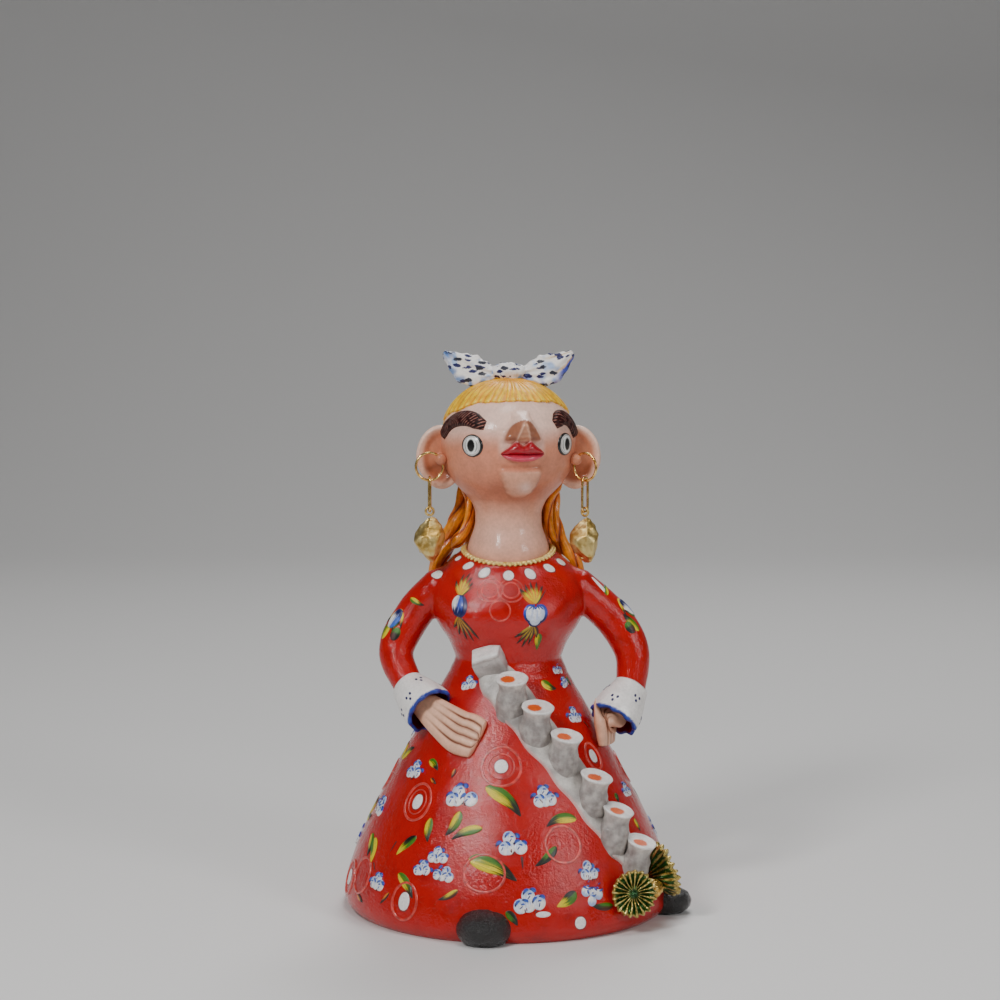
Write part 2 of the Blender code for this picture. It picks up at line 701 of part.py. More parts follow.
def trim_mesh(grow=0.0):
    path = []
    for i in range(TRIM_SIDES):
        azimuth = 360 * i / TRIM_SIDES
        radius = NECK_BASE_RADIUS + GAP + TRIM_RADIUS + 0.1 * MM
        path.append(direction(azimuth) * radius + UP * (bodice(azimuth, BODICE_HEIGHT).z + TRIM_RADIUS + GAP))
    return closed_loop(path, TRIM_RADIUS + grow, 6)


# ---------------------------------------------------------------- the head


def build_neck(paint):
    piece("neck", turned(neck_outline(), 32), paint)


def build_head(paint):
    made = piece("head_shell", head_solid(), paint)
    bore = [(NECK_RADIUS + GAP, HEAD_BASE_LEVEL - 6 * MM), (NECK_RADIUS + GAP, HEAD_BASE_LEVEL + NECK_TENON + 3 * MM)]
    cut(made, cutter(head_solid(-HEAD_WALL)), cutter(turned(bore, 32)))


def build_eyes(paint):
    for side in (LEFT, RIGHT):
        azimuth = side * EYE_AZIMUTH
        frame = frame_of(head(azimuth, EYE_HEIGHT), normal_of(head, azimuth, EYE_HEIGHT))
        outline = [
            (EYE_RADIUS, -3 * MM),
            (EYE_RADIUS, 0.45 * EYE_PROUD),
            (0.85 * EYE_RADIUS, 0.8 * EYE_PROUD),
            (0.45 * EYE_RADIUS, EYE_PROUD),
        ]
        made = piece(SIDE_NAMES[side] + "_eye", turned(outline, 18, frame), paint)
        cut(made, cutter(head_solid(GAP)))


def build_brows(paint):
    for side in (LEFT, RIGHT):
        first = BROW_PATH[0][0]
        places = [(side * (first + (turn - first) * BROW_SPREAD[side]), height * MM) for turn, height in BROW_PATH]
        path = smooth_path([head(*place) for place in places], 2)
        outward = smooth_path([normal_of(head, *place) for place in places], 2)
        radii = [BROW_HALF_WIDTH * share for share in (0.7, 0.92, 1, 1, 1, 1, 0.98, 0.9, 0.75)]
        mesh = swept(path, radii, 10, flat=(outward, BROW_PROUD / BROW_HALF_WIDTH))
        cut(piece(SIDE_NAMES[side] + "_eyebrow", mesh, paint), cutter(head_solid(GAP)))


def build_nose(paint):
    rings = []
    for height, half_width, proud in NOSE_PROFILE:
        around, out, _ = axes_on(head, 0, height * MM)
        rings.append(ring(head(0, height * MM), around, out, half_width * MM, proud * MM, 14))
    cut(piece("nose", skinned(rings), paint), cutter(head_solid(GAP)))


def build_lips(paint):
    shapes = {
        "upper_lip": (1, UPPER_LIP_HEIGHT, (0.25, 0.72, 1.0, 0.84, 1.0, 0.72, 0.25)),
        "lower_lip": (-1, LOWER_LIP_HEIGHT, (0.3, 0.75, 0.98, 1.0, 0.98, 0.75, 0.3)),
    }
    for name, (way, height, shares) in shapes.items():
        path, outward, radii = [], [], []
        for i, share in enumerate(shares):
            azimuth = LIP_AZIMUTH * (i / 3 - 1)
            radius = 0.5 * height * share
            middle = MOUTH_HEIGHT + way * (0.5 * GAP + radius)
            path.append(head(azimuth, middle))
            outward.append(normal_of(head, azimuth, middle))
            radii.append(radius)
        mesh = swept(path, radii, 10, flat=(outward, [LIP_PROUD * (0.35 + 0.65 * share) / radius
                                                    for share, radius in zip(shares, radii, strict=True)]))
        cut(piece(name, mesh, paint), cutter(head_solid(GAP)))


def build_chin(paint):
    around, out, upward = axes_on(head, 0, CHIN_LEVEL)
    mesh = blob(head(0, CHIN_LEVEL), (around, out, upward), (CHIN_HALF_WIDTH, CHIN_PROUD, CHIN_HALF_HEIGHT), power=0.6)
    cut(piece("chin_pad", mesh, paint), cutter(head_solid(GAP)), cutter(turned(neck_outline(GAP), 32)))


def build_ears(paint):
    for side in (LEFT, RIGHT):
        azimuth = side * EAR_AZIMUTH
        root = head(azimuth - FACE_TURN, EAR_LEVEL)
        out = direction(side * 90)
        forward = direction(0)
        centre = root + out * 0.4 * MM
        plate = blob(centre, (out, forward, UP), (EAR_HALF_REACH, 0.5 * EAR_THICKNESS, EAR_HALF_HEIGHT), 9, 16)
        made = piece(SIDE_NAMES[side] + "_ear", plate, paint)
        dish_radii = (0.72 * EAR_HALF_REACH, EAR_THICKNESS, 0.76 * EAR_HALF_HEIGHT)
        dish_centre = centre + forward * (1.5 * EAR_THICKNESS - EAR_DISH)
        pierced, along = hoop_pierce(side)
        lug = [pierced + forward * step * LUG_LENGTH for step in (0.42, 0.2, -0.4, -1.0)]
        joined(made, swept(lug, [share * LUG_RADIUS for share in (0.6, 1, 1, 1)], 12))
        hole = turned([(PIERCE_RADIUS, -9 * MM), (PIERCE_RADIUS, 9 * MM)], 14, frame_of(pierced, along))
        cut(made, cutter(blob(dish_centre, (out, forward, UP), dish_radii)), cutter(head_solid(GAP)), cutter(hole))


# ---------------------------------------------------------------- the earrings


def hoop_pierce(side):
    """Where a hoop passes through its ear, and the direction in which it runs there."""
    reach = direction(HOOP_REACH_AZIMUTH[side])
    pierced = off(head, side * PIERCE_AZIMUTH - FACE_TURN, PIERCE_LEVEL, PIERCE_PROUD)
    return pierced, reach * math.sin(HOOP_PIERCE_ANGLE) + UP * math.cos(HOOP_PIERCE_ANGLE)


def hoop_centre(side):
    reach = direction(HOOP_REACH_AZIMUTH[side])
    pierced, _ = hoop_pierce(side)
    return pierced + (reach * math.cos(HOOP_PIERCE_ANGLE) - UP * math.sin(HOOP_PIERCE_ANGLE)) * HOOP_RADIUS


def link_top(side):
    """The top of a link's centre line, resting over the lowest point of its hoop."""
    return hoop_centre(side) - UP * (HOOP_RADIUS - 2 * WIRE_RADIUS - GAP)


def link_foot(side):
    """The middle of the bend at the foot of a link."""
    return link_top(side) - UP * (LINK_LENGTH - LINK_BEND_RADIUS)


def build_earrings(hoop_metal, drop_metal):
    for side in (LEFT, RIGHT):
        name = SIDE_NAMES[side]
        reach = direction(HOOP_REACH_AZIMUTH[side])
        facing = reach.cross(UP)
        centre = hoop_centre(side)
        pierced, _ = hoop_pierce(side)
        circle = ring(centre, reach, UP, HOOP_RADIUS, HOOP_RADIUS, 32)
        hoop = hang(piece(name + "_hoop", closed_loop(circle, WIRE_RADIUS, 6), hoop_metal), pierced)
        upper, lower = link_top(side) - UP * LINK_BEND_RADIUS, link_foot(side)
        bends = []
        for middle, first in ((upper, 0), (lower, 180)):
            for step in range(9):
                angle = math.radians(first + 180 * step / 8)
                bends.append(middle + (facing * math.cos(angle) + UP * math.sin(angle)) * LINK_BEND_RADIUS)
        link = hang(piece(name + "_link", closed_loop(bends, WIRE_RADIUS, 6), hoop_metal), centre, hoop, pierced)
        drop = piece(name + "_drop", drop_mesh(lower - UP * LINK_BEND_RADIUS, reach, facing), drop_metal)
        eye = turned([(DROP_EYE_RADIUS, -9 * MM), (DROP_EYE_RADIUS, 9 * MM)], 14,
                     frame_of(lower - UP * LINK_BEND_RADIUS, facing))
        cut(hang(drop, lower, link, centre), cutter(eye))


def drop_mesh(eye, across, facing):
    """A solid drop with a flat tab on top, where its eye goes."""
    rings = []
    for share, width in ((0.0, 0.3), (0.06, 0.62), (0.2, 0.92), (0.38, 1.0), (0.58, 0.93), (0.76, 0.72), (0.9, 0.46)):
        middle = eye - UP * (DROP_LENGTH * (1 - share) + DROP_EYE_RADIUS)
        rings.append(ring(middle, across, facing, DROP_HALF_WIDTH * width, DROP_HALF_DEPTH * width, 14))
    for height, share in ((-2.2 * MM, 1.0), (0.0, 1.0), (1.5 * MM, 0.8), (2.2 * MM, 0.45)):
        rings.append(ring(eye + UP * height, across, facing, DROP_TAB_HALF_WIDTH * share, DROP_TAB_HALF_DEPTH, 14))
    return skinned(rings)


# ---------------------------------------------------------------- the hair and the bow


def lock_mesh(rows, grow=0.0):
    points = []
    for turn, reach, rise, _ in rows:
        under_head = min(max((rise - 14) / 14, 0), 1)  # 1 where the lock leaves the head, 0 lower down
        by_neck = min(max((22 - reach) / 3, 0), 1)  # 1 where it lies against the neck
        flat = direction(turn) * (reach * MM + (NECK_RADIUS - LOCK_NECK_RADIUS) * by_neck)
        flat.x *= 1 + (HEAD_HALF_WIDTH / LOCK_HEAD_HALF_WIDTH - 1) * under_head
        points.append(flat + UP * (NECKLINE_LEVEL + rise * MM))
    widths = smooth_path([Vector((row[3] * MM + grow, 0, 0)) for row in rows], 2)
    path = smooth_path(points, 2)
    outward = [Vector((point.x, point.y, 0)).normalized() for point in path]
    return swept(path, [width.x for width in widths], 10, flat=(outward, LOCK_FLATNESS))


def build_hair(cap_paint, lock_paint):
    cut(piece("hair_cap", cap_solid(), cap_paint), cutter(head_solid(GAP)))
    for name, rows in LOCKS.items():
        made = piece(name, lock_mesh(rows), lock_paint)
        cut(made, cutter(head_solid(GAP)), cutter(turned(neck_outline(GAP), 32)), cutter(bodice_solid(GAP)))
        cut(made, cutter(cap_solid(GAP)), cutter(trim_mesh(GAP)))


def build_bow(paint):
    top = Vector((0, 0, HEAD_LEVEL + CROWN_HEIGHT + CAP_THICKNESS))
    facing = (direction(0) + UP * 0.25).normalized()
    knot = blob(top + UP * 0.6 * KNOT_RADII[2], (direction(90), direction(0), UP), KNOT_RADII)
    cut(piece("bow_knot", knot, paint), cutter(cap_solid(GAP)))
    for side in (LEFT, RIGHT):
        rise = math.radians(BOW_RISE)
        along = direction(side * 95) * math.cos(rise) + UP * math.sin(rise)
        root = top + UP * 1.6 * MM + direction(side * 90) * (KNOT_RADII[0] - 1.5 * MM)
        path = [
            root + along * BOW_LENGTH * share - UP * BOW_SAG * math.sin(math.pi * share)
            for share in (0, 0.2, 0.42, 0.62, 0.8, 0.93, 1)
        ]
        radii = [BOW_HALF_WIDTH * share for share in (0.4, 0.75, 0.97, 1.0, 0.78, 0.52, 0.3)]
        mesh = swept(path, radii, 12, flat=([facing] * len(path), BOW_FLATNESS))
        grown = [radius + GAP for radius in KNOT_RADII]
        knot_cutter = blob(top + UP * 0.6 * KNOT_RADII[2], (direction(90), direction(0), UP), grown)
        cut(piece(f"bow_{SIDE_NAMES[side]}_loop", mesh, paint), cutter(cap_solid(GAP)), cutter(knot_cutter))


# ---------------------------------------------------------------- the arms


def place(azimuth, reach, rise):
    return direction(azimuth) * reach + UP * (WAIST_LEVEL + rise)


def arm_points(side):
    wrist = place(*WRIST_PLACE[side])
    along = (place(*CUFF_PLACE[side]) - wrist).normalized()
    shoulder = place(side * SHOULDER_PLACE[0], *SHOULDER_PLACE[1:])
    return shoulder, place(*UPPER_ARM_PLACE[side]), place(*ELBOW_PLACE[side]), wrist, along


def arm_mesh(side, grow=0.0):
    shoulder, upper, elbow, wrist, along = arm_points(side)
    path = smooth_path([shoulder, upper, elbow, wrist], 4)[:-1]
    count = len(path)
    radii = [WRIST_RADIUS + (ARM_RADIUS - WRIST_RADIUS) * min(1, (count - i) / 6) + grow for i in range(count)]
    path += [wrist, wrist + along * (CUFF_OVERLAP + grow)]
    return swept(path, [*radii, WRIST_RADIUS + grow, WRIST_RADIUS + grow], 16)


def cuff_mesh(side, grow=0.0):
    *_, wrist, along = arm_points(side)
    bore = WRIST_RADIUS + GAP
    profile = [
        (bore - grow, -grow),
        (bore - grow, CUFF_OVERLAP),
        (CUFF_RIM_RADIUS - CUFF_WALL - grow, CUFF_LENGTH + grow),
        (CUFF_RIM_RADIUS + grow, CUFF_LENGTH + grow),
        (bore + CUFF_WALL + 0.8 * MM + grow, CUFF_OVERLAP),
        (bore + CUFF_WALL + grow, -grow),
    ]
    return turned(profile, 24, frame_of(wrist, along), looped=True)


def build_arms(sleeve_paint, cuff_paint, hand_paint):
    for side in (LEFT, RIGHT):
        name = SIDE_NAMES[side]
        *_, wrist, along = arm_points(side)
        cut(piece(name + "_arm", arm_mesh(side), sleeve_paint), cutter(bodice_solid(GAP)))

        cuff = piece(name + "_cuff", cuff_mesh(side), cuff_paint)
        cut(cuff, cutter(skirt_solid(GAP)), cutter(arm_mesh(side, GAP)))

        root = wrist + along * (CUFF_OVERLAP + GAP)
        mouth = wrist + along * CUFF_LENGTH * 0.8
        knuckles = [
            off(skirt, KNUCKLE_PLACE[side][0], WAIST_LEVEL + KNUCKLE_PLACE[side][1], KNUCKLE_PROUD[side]),
            off(skirt, TIP_PLACE[side][0], WAIST_LEVEL + TIP_PLACE[side][1], 0.3 * HAND_THICKNESS),
        ]
        beyond = knuckles[0].lerp(knuckles[1], 0.55)
        path = [root, root.lerp(mouth, 0.6), mouth, knuckles[0], beyond, knuckles[1]]
        normal = normal_of(skirt, KNUCKLE_PLACE[side][0], WAIST_LEVEL + KNUCKLE_PLACE[side][1])
        widths = [HAND_ROOT_RADIUS, HAND_ROOT_RADIUS, 0.62 * HAND_HALF_WIDTH, HAND_HALF_WIDTH]
        widths += [HAND_HALF_WIDTH, 0.72 * HAND_HALF_WIDTH]
        shares = [1.0, 0.9, 0.55, *[0.5 * HAND_THICKNESS / HAND_HALF_WIDTH] * 3]
        hand = piece(name + "_hand", swept(path, widths, 14, flat=([normal] * 6, shares)), hand_paint)
        cut(hand, cutter(skirt_solid(GAP)), cutter(cuff_mesh(side, GAP)))


# ---------------------------------------------------------------- sash, rosette and shoes


def roll_mesh(azimuth, height, grow=0.0):
    tilt = math.radians(ROLL_TILT)
    along = UP * math.cos(tilt) + direction(azimuth) * math.sin(tilt)
    top = off(skirt, azimuth, as_tall(height * MM), ROLL_PROUD)
    outline = [(ROLL_FOOT_RADIUS + grow, -ROLL_LENGTH), (ROLL_RADIUS + grow, grow)]
    return turned(outline, 18, frame_of(top, along))


def build_sash(paint):
    strip = piece("sash_strip", sash_solid(), paint)
    cut(strip, cutter(skirt_solid(GAP)))
    for number, (azimuth, height) in enumerate(ROLL_PLACES, 1):
        roll = piece(f"sash_roll_{number}", roll_mesh(azimuth, height), paint)
        cut(roll, cutter(skirt_solid(SASH_THICKNESS + GAP)), cutter(sash_solid(GAP)))

    azimuth, rise = FLAP_PLACE
    around, out, upward = axes_on(bodice, azimuth, 2 * MM)
    centre = off(bodice, azimuth, rise, 1.0 * MM)
    flap = piece("sash_flap", blob(centre, (around, out, upward), FLAP_RADII, power=0.5), paint)
    cut(flap, cutter(bodice_solid(GAP)), cutter(skirt_solid(GAP, 0.0)), cutter(sash_solid(GAP)))
    cut(flap, cutter(roll_mesh(*ROLL_PLACES[0], GAP)))


def frill_mesh(which, grow=0.0):
    azimuth, height = FRILL_PLACES[which][0], as_tall(FRILL_PLACES[which][1])
    facing = direction(FRILL_FACING[which])
    radius = FRILL_RADIUS[which] + grow
    mouth = off(skirt, azimuth, height, FRILL_PROUD[which])
    front, back = grow, -FRILL_DEPTH - grow
    outline = [(0.5 * KNOB_RADIUS, back), (0.62 * radius, 0.6 * back), (radius, 0.12 * back), (radius, front)]
    if not grow:
        outline += [(radius - FRILL_WALL, front), (0.5 * radius, 0.45 * back), (0.1 * radius, 0.5 * back)]
    else:
        outline.append((0.1 * radius, front))
    return turned(outline, 20, frame_of(mouth, facing))


def build_rosette(paint, knob_paint):
    knob_azimuth, knob_height = KNOB_PLACE[0], as_tall(KNOB_PLACE[1])
    around, out, upward = axes_on(skirt, knob_azimuth, knob_height)
    centre = off(skirt, knob_azimuth, knob_height, KNOB_PROUD)
    front = piece("rosette_front_frill", frill_mesh("front"), paint)
    cut(front, cutter(skirt_solid(GAP)), cutter(sash_solid(GAP)))
    side = piece("rosette_side_frill", frill_mesh("side"), paint)
    cut(side, cutter(skirt_solid(GAP)), cutter(sash_solid(GAP)), cutter(shoe_mesh("side", GAP)))
    knob = piece("rosette_knob", blob(centre, (around, out, upward), [KNOB_RADIUS, 1.2 * KNOB_RADIUS, KNOB_RADIUS]),
                 knob_paint)
    cut(knob, cutter(skirt_solid(GAP)), cutter(sash_solid(GAP)))
    cut(knob, cutter(frill_mesh("front", GAP)), cutter(frill_mesh("side", GAP)))
    cut(knob, cutter(roll_mesh(*ROLL_PLACES[-1], GAP)))


def shoe_mesh(which, grow=0.0):
    out = direction(SHOE_AZIMUTH[which])
    half_length, height = SHOE_HALF_LENGTH[which], SHOE_HEIGHT[which]
    centre = out * (SKIRT_RADIUS + SHOE_REACH[which] - half_length) + UP * 0.42 * height
    radii = (SHOE_HALF_WIDTH[which] + grow, half_length + grow, 0.58 * height + grow)
    mesh = blob(centre, (UP.cross(out), out, UP), radii, rings=8, sides=20)
    for vertex in mesh.vertices:
        vertex.co.z = max(vertex.co.z, 0.0)
    return mesh


def build_shoes(paint):
    for which in ("front", "side"):
        cut(piece(which + "_shoe", shoe_mesh(which), paint), cutter(skirt_solid(GAP)))


# ---------------------------------------------------------------- assembly

for old in list(bpy.data.objects):
    bpy.data.objects.remove(old, do_unlink=True)

figure = bpy.data.objects.new("figure", None)
bpy.context.scene.collection.objects.link(figure)

red = material("red_paint", RED, 0.3)
skin = material("skin_paint", SKIN, 0.35)
white = material("white_paint", WHITE, 0.45)
dark = material("dark_brown_paint", BROWN, 0.4)

build_skirt(red)
build_bodice(red)
piece("neckline_trim", trim_mesh(), material("yellow_paint", YELLOW, 0.4))
build_neck(skin)
build_head(skin)
build_ears(skin)
build_eyes(white)
build_brows(dark)
build_nose(skin)
build_lips(material("lip_paint", PINK, 0.35))
build_chin(material("pale_skin_paint", PALE_SKIN, 0.35))
build_hair(material("yellow_hair_paint", YELLOW, 0.4), material("orange_hair_paint", ORANGE, 0.4))
build_bow(material("bow_paint", WHITE, 0.4))
build_earrings(material("gilt_wire", BRASS, 0.25, 1.0), material("gilt", GOLD, 0.35, 1.0))
build_arms(red, white, skin)
build_sash(white)
build_rosette(material("green_foil", GREEN, 0.35, 1.0), material("gilt_knob", GOLD, 0.35, 1.0))
build_shoes(material("black_paint", BLACK, 0.2))

# The whole figure stands with the middle of its footprint on the origin.
corners = [vertex.co for made in figure.children if not made.hide_render for vertex in made.data.vertices]
for axis in range(2):
    reach = [corner[axis] for corner in corners]
    figure.location[axis] = -0.5 * (min(reach) + max(reach))
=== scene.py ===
import json
import math

import bmesh
import bpy
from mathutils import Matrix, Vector, noise
from mathutils.bvhtree import BVHTree


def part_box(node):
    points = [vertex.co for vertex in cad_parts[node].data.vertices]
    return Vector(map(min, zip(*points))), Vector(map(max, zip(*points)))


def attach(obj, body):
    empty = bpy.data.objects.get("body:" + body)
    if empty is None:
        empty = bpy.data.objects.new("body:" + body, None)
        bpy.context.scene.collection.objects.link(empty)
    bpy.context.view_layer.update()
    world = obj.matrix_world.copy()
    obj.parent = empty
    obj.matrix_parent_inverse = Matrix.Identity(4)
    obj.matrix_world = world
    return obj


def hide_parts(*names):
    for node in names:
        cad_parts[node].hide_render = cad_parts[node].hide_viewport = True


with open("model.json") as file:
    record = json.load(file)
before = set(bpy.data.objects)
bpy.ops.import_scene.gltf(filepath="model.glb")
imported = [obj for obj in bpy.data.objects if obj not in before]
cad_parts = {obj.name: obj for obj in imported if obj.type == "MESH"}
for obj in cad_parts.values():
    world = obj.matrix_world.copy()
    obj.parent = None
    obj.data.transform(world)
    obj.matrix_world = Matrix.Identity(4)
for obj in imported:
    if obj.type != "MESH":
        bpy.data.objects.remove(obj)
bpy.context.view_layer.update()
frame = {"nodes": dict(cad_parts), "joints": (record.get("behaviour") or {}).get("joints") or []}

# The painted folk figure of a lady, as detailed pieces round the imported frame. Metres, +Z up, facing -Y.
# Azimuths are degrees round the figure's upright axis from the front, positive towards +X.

MM = 0.001
LEFT, RIGHT = -1, 1
NAMES = {LEFT: "left", RIGHT: "right"}
UP = Vector((0, 0, 1))


def box(node):
    low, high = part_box(node)
    return Vector(low), Vector(high)


SKIRT_LOW, SKIRT_HIGH = box("skirt_shell")
AXIS = Vector((0.5 * (SKIRT_LOW.x + SKIRT_HIGH.x), 0.5 * (SKIRT_LOW.y + SKIRT_HIGH.y), 0))
SKIRT_RADIUS = 0.5 * (SKIRT_HIGH.x - SKIRT_LOW.x)
WAIST_LEVEL = SKIRT_HIGH.z
WAIST_RADIUS = 23 * MM
HEM_HEIGHT = 6 * MM
HEM_ROUND = 3.5 * MM
SKIRT_WALL = 3.5 * MM
BODICE_HEIGHT = 48 * MM
NECKLINE_DROP = 4.5 * MM
NECKLINE_LEVEL = WAIST_LEVEL + BODICE_HEIGHT
NECK_BASE_RADIUS = 18.2 * MM
NECK_RADIUS = 14.6 * MM
HEAD_LEVEL = box("head_shell")[1].z - 26 * MM  # widest level of the head
HEAD_HALF_WIDTH = 29.6 * MM
HEAD_HALF_DEPTH = 28.4 * MM
CROWN_HEIGHT = 26 * MM
JAW_HEIGHT = 26.5 * MM
JAW_FULLNESS = 2.35
FACE_TURN = 12.0


def srgb(red, green, blue):
    """A colour as linear light from its everyday 0 to 255 values."""
    return tuple((value / 255) ** 2.2 for value in (red, green, blue))


RED, DEEP_RED, MAROON = (0.50, 0.003, 0.002), (0.24, 0.001, 0.001), (0.06, 0.004, 0.003)
WHITE, OFF_WHITE = srgb(244, 240, 236), srgb(222, 216, 208)
BLUE, PALE_BLUE, NAVY = srgb(20, 62, 172), srgb(136, 174, 228), srgb(8, 16, 84)
AMBER = srgb(226, 132, 20)
LEAF_YELLOW, LEAF_GREEN, LEAF_DARK = srgb(226, 204, 16), srgb(62, 116, 14), srgb(16, 22, 8)
BROWN, BLACK = srgb(74, 26, 20), srgb(14, 12, 12)
PALE_SKIN, TAN = srgb(240, 200, 182), srgb(212, 134, 102)
LIP_RED, LIP_PINK = srgb(166, 4, 30), srgb(216, 72, 96)
GOLD, OLD_GOLD = srgb(236, 196, 110), srgb(190, 140, 62)


def blend(first, second, share):
    share = min(max(share, 0.0), 1.0)
    return tuple(a + (b - a) * share for a, b in zip(first, second, strict=True))


def smooth(value, low, high):
    """0 below low, 1 above high, and a smooth turn between them."""
    share = min(max((value - low) / (high - low), 0.0), 1.0)
    return share * share * (3 - 2 * share)


def bump(value, middle, spread):
    return math.exp(-(((value - middle) / spread) ** 2))


def grain(point, size, seed=0.0):
    """Soft noise between about -1 and 1, with features of this size."""
    return noise.noise(Vector(point) / size + Vector((seed, 1.7 * seed, -seed)))


def taper(share, start, span, least=0.02):
    """1 up to a share, then falling in a quarter circle to the end."""
    return max(1 - ((share - start) / span) ** 2, least) ** 0.5 if share > start else 1


def signed(azimuth):
    return (azimuth + 180) % 360 - 180


def direction(azimuth):
    angle = math.radians(azimuth)
    return Vector((math.sin(angle), -math.cos(angle), 0))


def smooth_path(points, steps):
    """A smooth curve through the points, with this many steps in each span."""
    knots = [points[0] * 2 - points[1], *points, points[-1] * 2 - points[-2]]
    found = []
    for i in range(1, len(knots) - 2):
        before, start, end, after = knots[i - 1 : i + 3]
        for step in range(steps):
            t = step / steps
            found.append(
                0.5
                * (
                    start * 2
                    + (end - before) * t
                    + (before * 2 - start * 5 + end * 4 - after) * t * t
                    + (start * 3 - before - end * 3 + after) * t**3
                )
            )
    return [*found, points[-1].copy()]


def read_off(table, at):
    """The value that rows of (place, value) give at a place, turning smoothly at each row."""
    if at <= table[0][0]:
        return table[0][1]
    for (low, first), (high, second) in zip(table, table[1:], strict=False):
        if at <= high:
            return first + (second - first) * smooth(at, low, high)
    return table[-1][1]


# ---------------------------------------------------------------- surfaces of the main forms


def skirt_radius(height):
    if height < HEM_HEIGHT:
        return SKIRT_RADIUS - HEM_ROUND * (1 - max(height, 0) / HEM_HEIGHT) ** 2
    low, high = 0.0, 1.0
    points = (HEM_HEIGHT, 0.27 * WAIST_LEVEL, 0.68 * WAIST_LEVEL, WAIST_LEVEL)
    for _ in range(24):
        t = 0.5 * (low + high)
        u = 1 - t
        level = points[0] * u**3 + points[1] * 3 * u * u * t + points[2] * 3 * u * t * t + points[3] * t**3
        low, high = (t, high) if level < height else (low, t)
    t, u = low, 1 - low
    return SKIRT_RADIUS * (u**3 + 0.97 * 3 * u * u * t + 0.575 * 3 * u * t * t) + WAIST_RADIUS * t**3


SKIRT_RADII = [skirt_radius(WAIST_LEVEL * i / 440) for i in range(441)]


def skirt(azimuth, height):
    step = min(max(height / WAIST_LEVEL, 0.0), 0.9999) * 440
    first = int(step)
    radius = SKIRT_RADII[first] + (SKIRT_RADII[first + 1] - SKIRT_RADII[first]) * (step - first)
    return AXIS + direction(azimuth) * radius + UP * height


BUST_HALF_WIDTH, BUST_DEPTH, BACK_DEPTH = 33 * MM, 26 * MM, 23.5 * MM
NECKLINE_RADIUS = NECK_BASE_RADIUS + 1.9 * MM
BODICE_ROWS = (  # height, half width, depth in front and depth behind, as shares of the bodice's sizes
    (0.17, 0.80, 0.91, 0.95),
    (0.32, 0.94, 1.00, 1.00),
    (0.46, 1.02, 1.03, 1.02),
    (0.62, 1.05, 0.97, 1.00),
    (0.77, 0.96, 0.85, 0.93),
    (0.90, 0.79, 0.78, 0.84),
)
BODICE_CURVE = smooth_path(
    [
        Vector((0, WAIST_RADIUS, WAIST_RADIUS, WAIST_RADIUS)),
        *(
            Vector((high * BODICE_HEIGHT, wide * BUST_HALF_WIDTH, front * BUST_DEPTH, back * BACK_DEPTH))
            for high, wide, front, back in BODICE_ROWS
        ),
        Vector((BODICE_HEIGHT, NECKLINE_RADIUS, NECKLINE_RADIUS, NECKLINE_RADIUS)),
    ],
    6,
)


def bodice(azimuth, height):
    """Height is from the waist; the neckline dips at the front and rises behind."""
    rise = min(max(height, 0), BODICE_HEIGHT)
    for below, above in zip(BODICE_CURVE, BODICE_CURVE[1:], strict=False):
        if rise <= above[0] or above is BODICE_CURVE[-1]:
            row = below.lerp(above, min((rise - below[0]) / (above[0] - below[0]), 1))
            break
    out = direction(azimuth)
    depth = row[2] if out.y < 0 else row[3]
    bust = 2.6 * MM * bump(abs(signed(azimuth)), 29, 17) * bump(rise, 0.44 * BODICE_HEIGHT,
                                                                0.17 * BODICE_HEIGHT)
    tilt = NECKLINE_DROP * (rise / BODICE_HEIGHT) ** 4 * (out.y if out.y < 0 else 0.5 * out.y)
    return AXIS + Vector((out.x * (row[1] + bust), out.y * (depth + bust), WAIST_LEVEL + height + tilt))


def head(azimuth, rise):
    """Azimuth is from the middle of the face, and rise from the widest level."""
    out = direction(azimuth + FACE_TURN)
    if rise >= 0:
        spread = math.sqrt(max(1 - (rise / CROWN_HEIGHT) ** 2, 0))
    else:
        spread = max(1 - (-rise / JAW_HEIGHT) ** JAW_FULLNESS, 0) ** (1 / JAW_FULLNESS)
    return AXIS + Vector((out.x * HEAD_HALF_WIDTH * spread, out.y * HEAD_HALF_DEPTH * spread,
                          HEAD_LEVEL + rise))


SHOULDER = (30.0, 32.0)  # places on an arm: distance from the axis and height from the waist, in mm
ARM_PLACES = {  # azimuth, distance from the axis, height from the waist
    LEFT: ((-90, *SHOULDER), (-92, 41.5, 19.5), (-87, 49.6, 3.2), (-77, 45.0, -11.6), (-51, 40.5, -22.0)),
    RIGHT: ((90, *SHOULDER), (92, 46.5, 17.0), (88, 54.6, 2.6), (84, 54.4, -12.6), (72, 48.0, -25.5)),
}
ARM_RADIUS, WRIST_RADIUS = 8.3 * MM, 6.2 * MM


def place(azimuth, reach, rise):
    return AXIS + direction(azimuth) * reach * MM + UP * (WAIST_LEVEL + rise * MM)


def arm_path(side):
    *points, cuff = [place(*row) for row in ARM_PLACES[side]]
    along = (cuff - points[-1]).normalized()
    return smooth_path(points, 12), along


def frames_along(path, outward):
    """Across and out directions at each point of a path, both square to it."""
    found = []
    for i in range(len(path)):
        tangent = (path[min(i + 1, len(path) - 1)] - path[max(i - 1, 0)]).normalized()
        out = outward(i) if callable(outward) else outward
        across = tangent.cross(out).normalized()
        found.append((across, across.cross(tangent)))
    return found


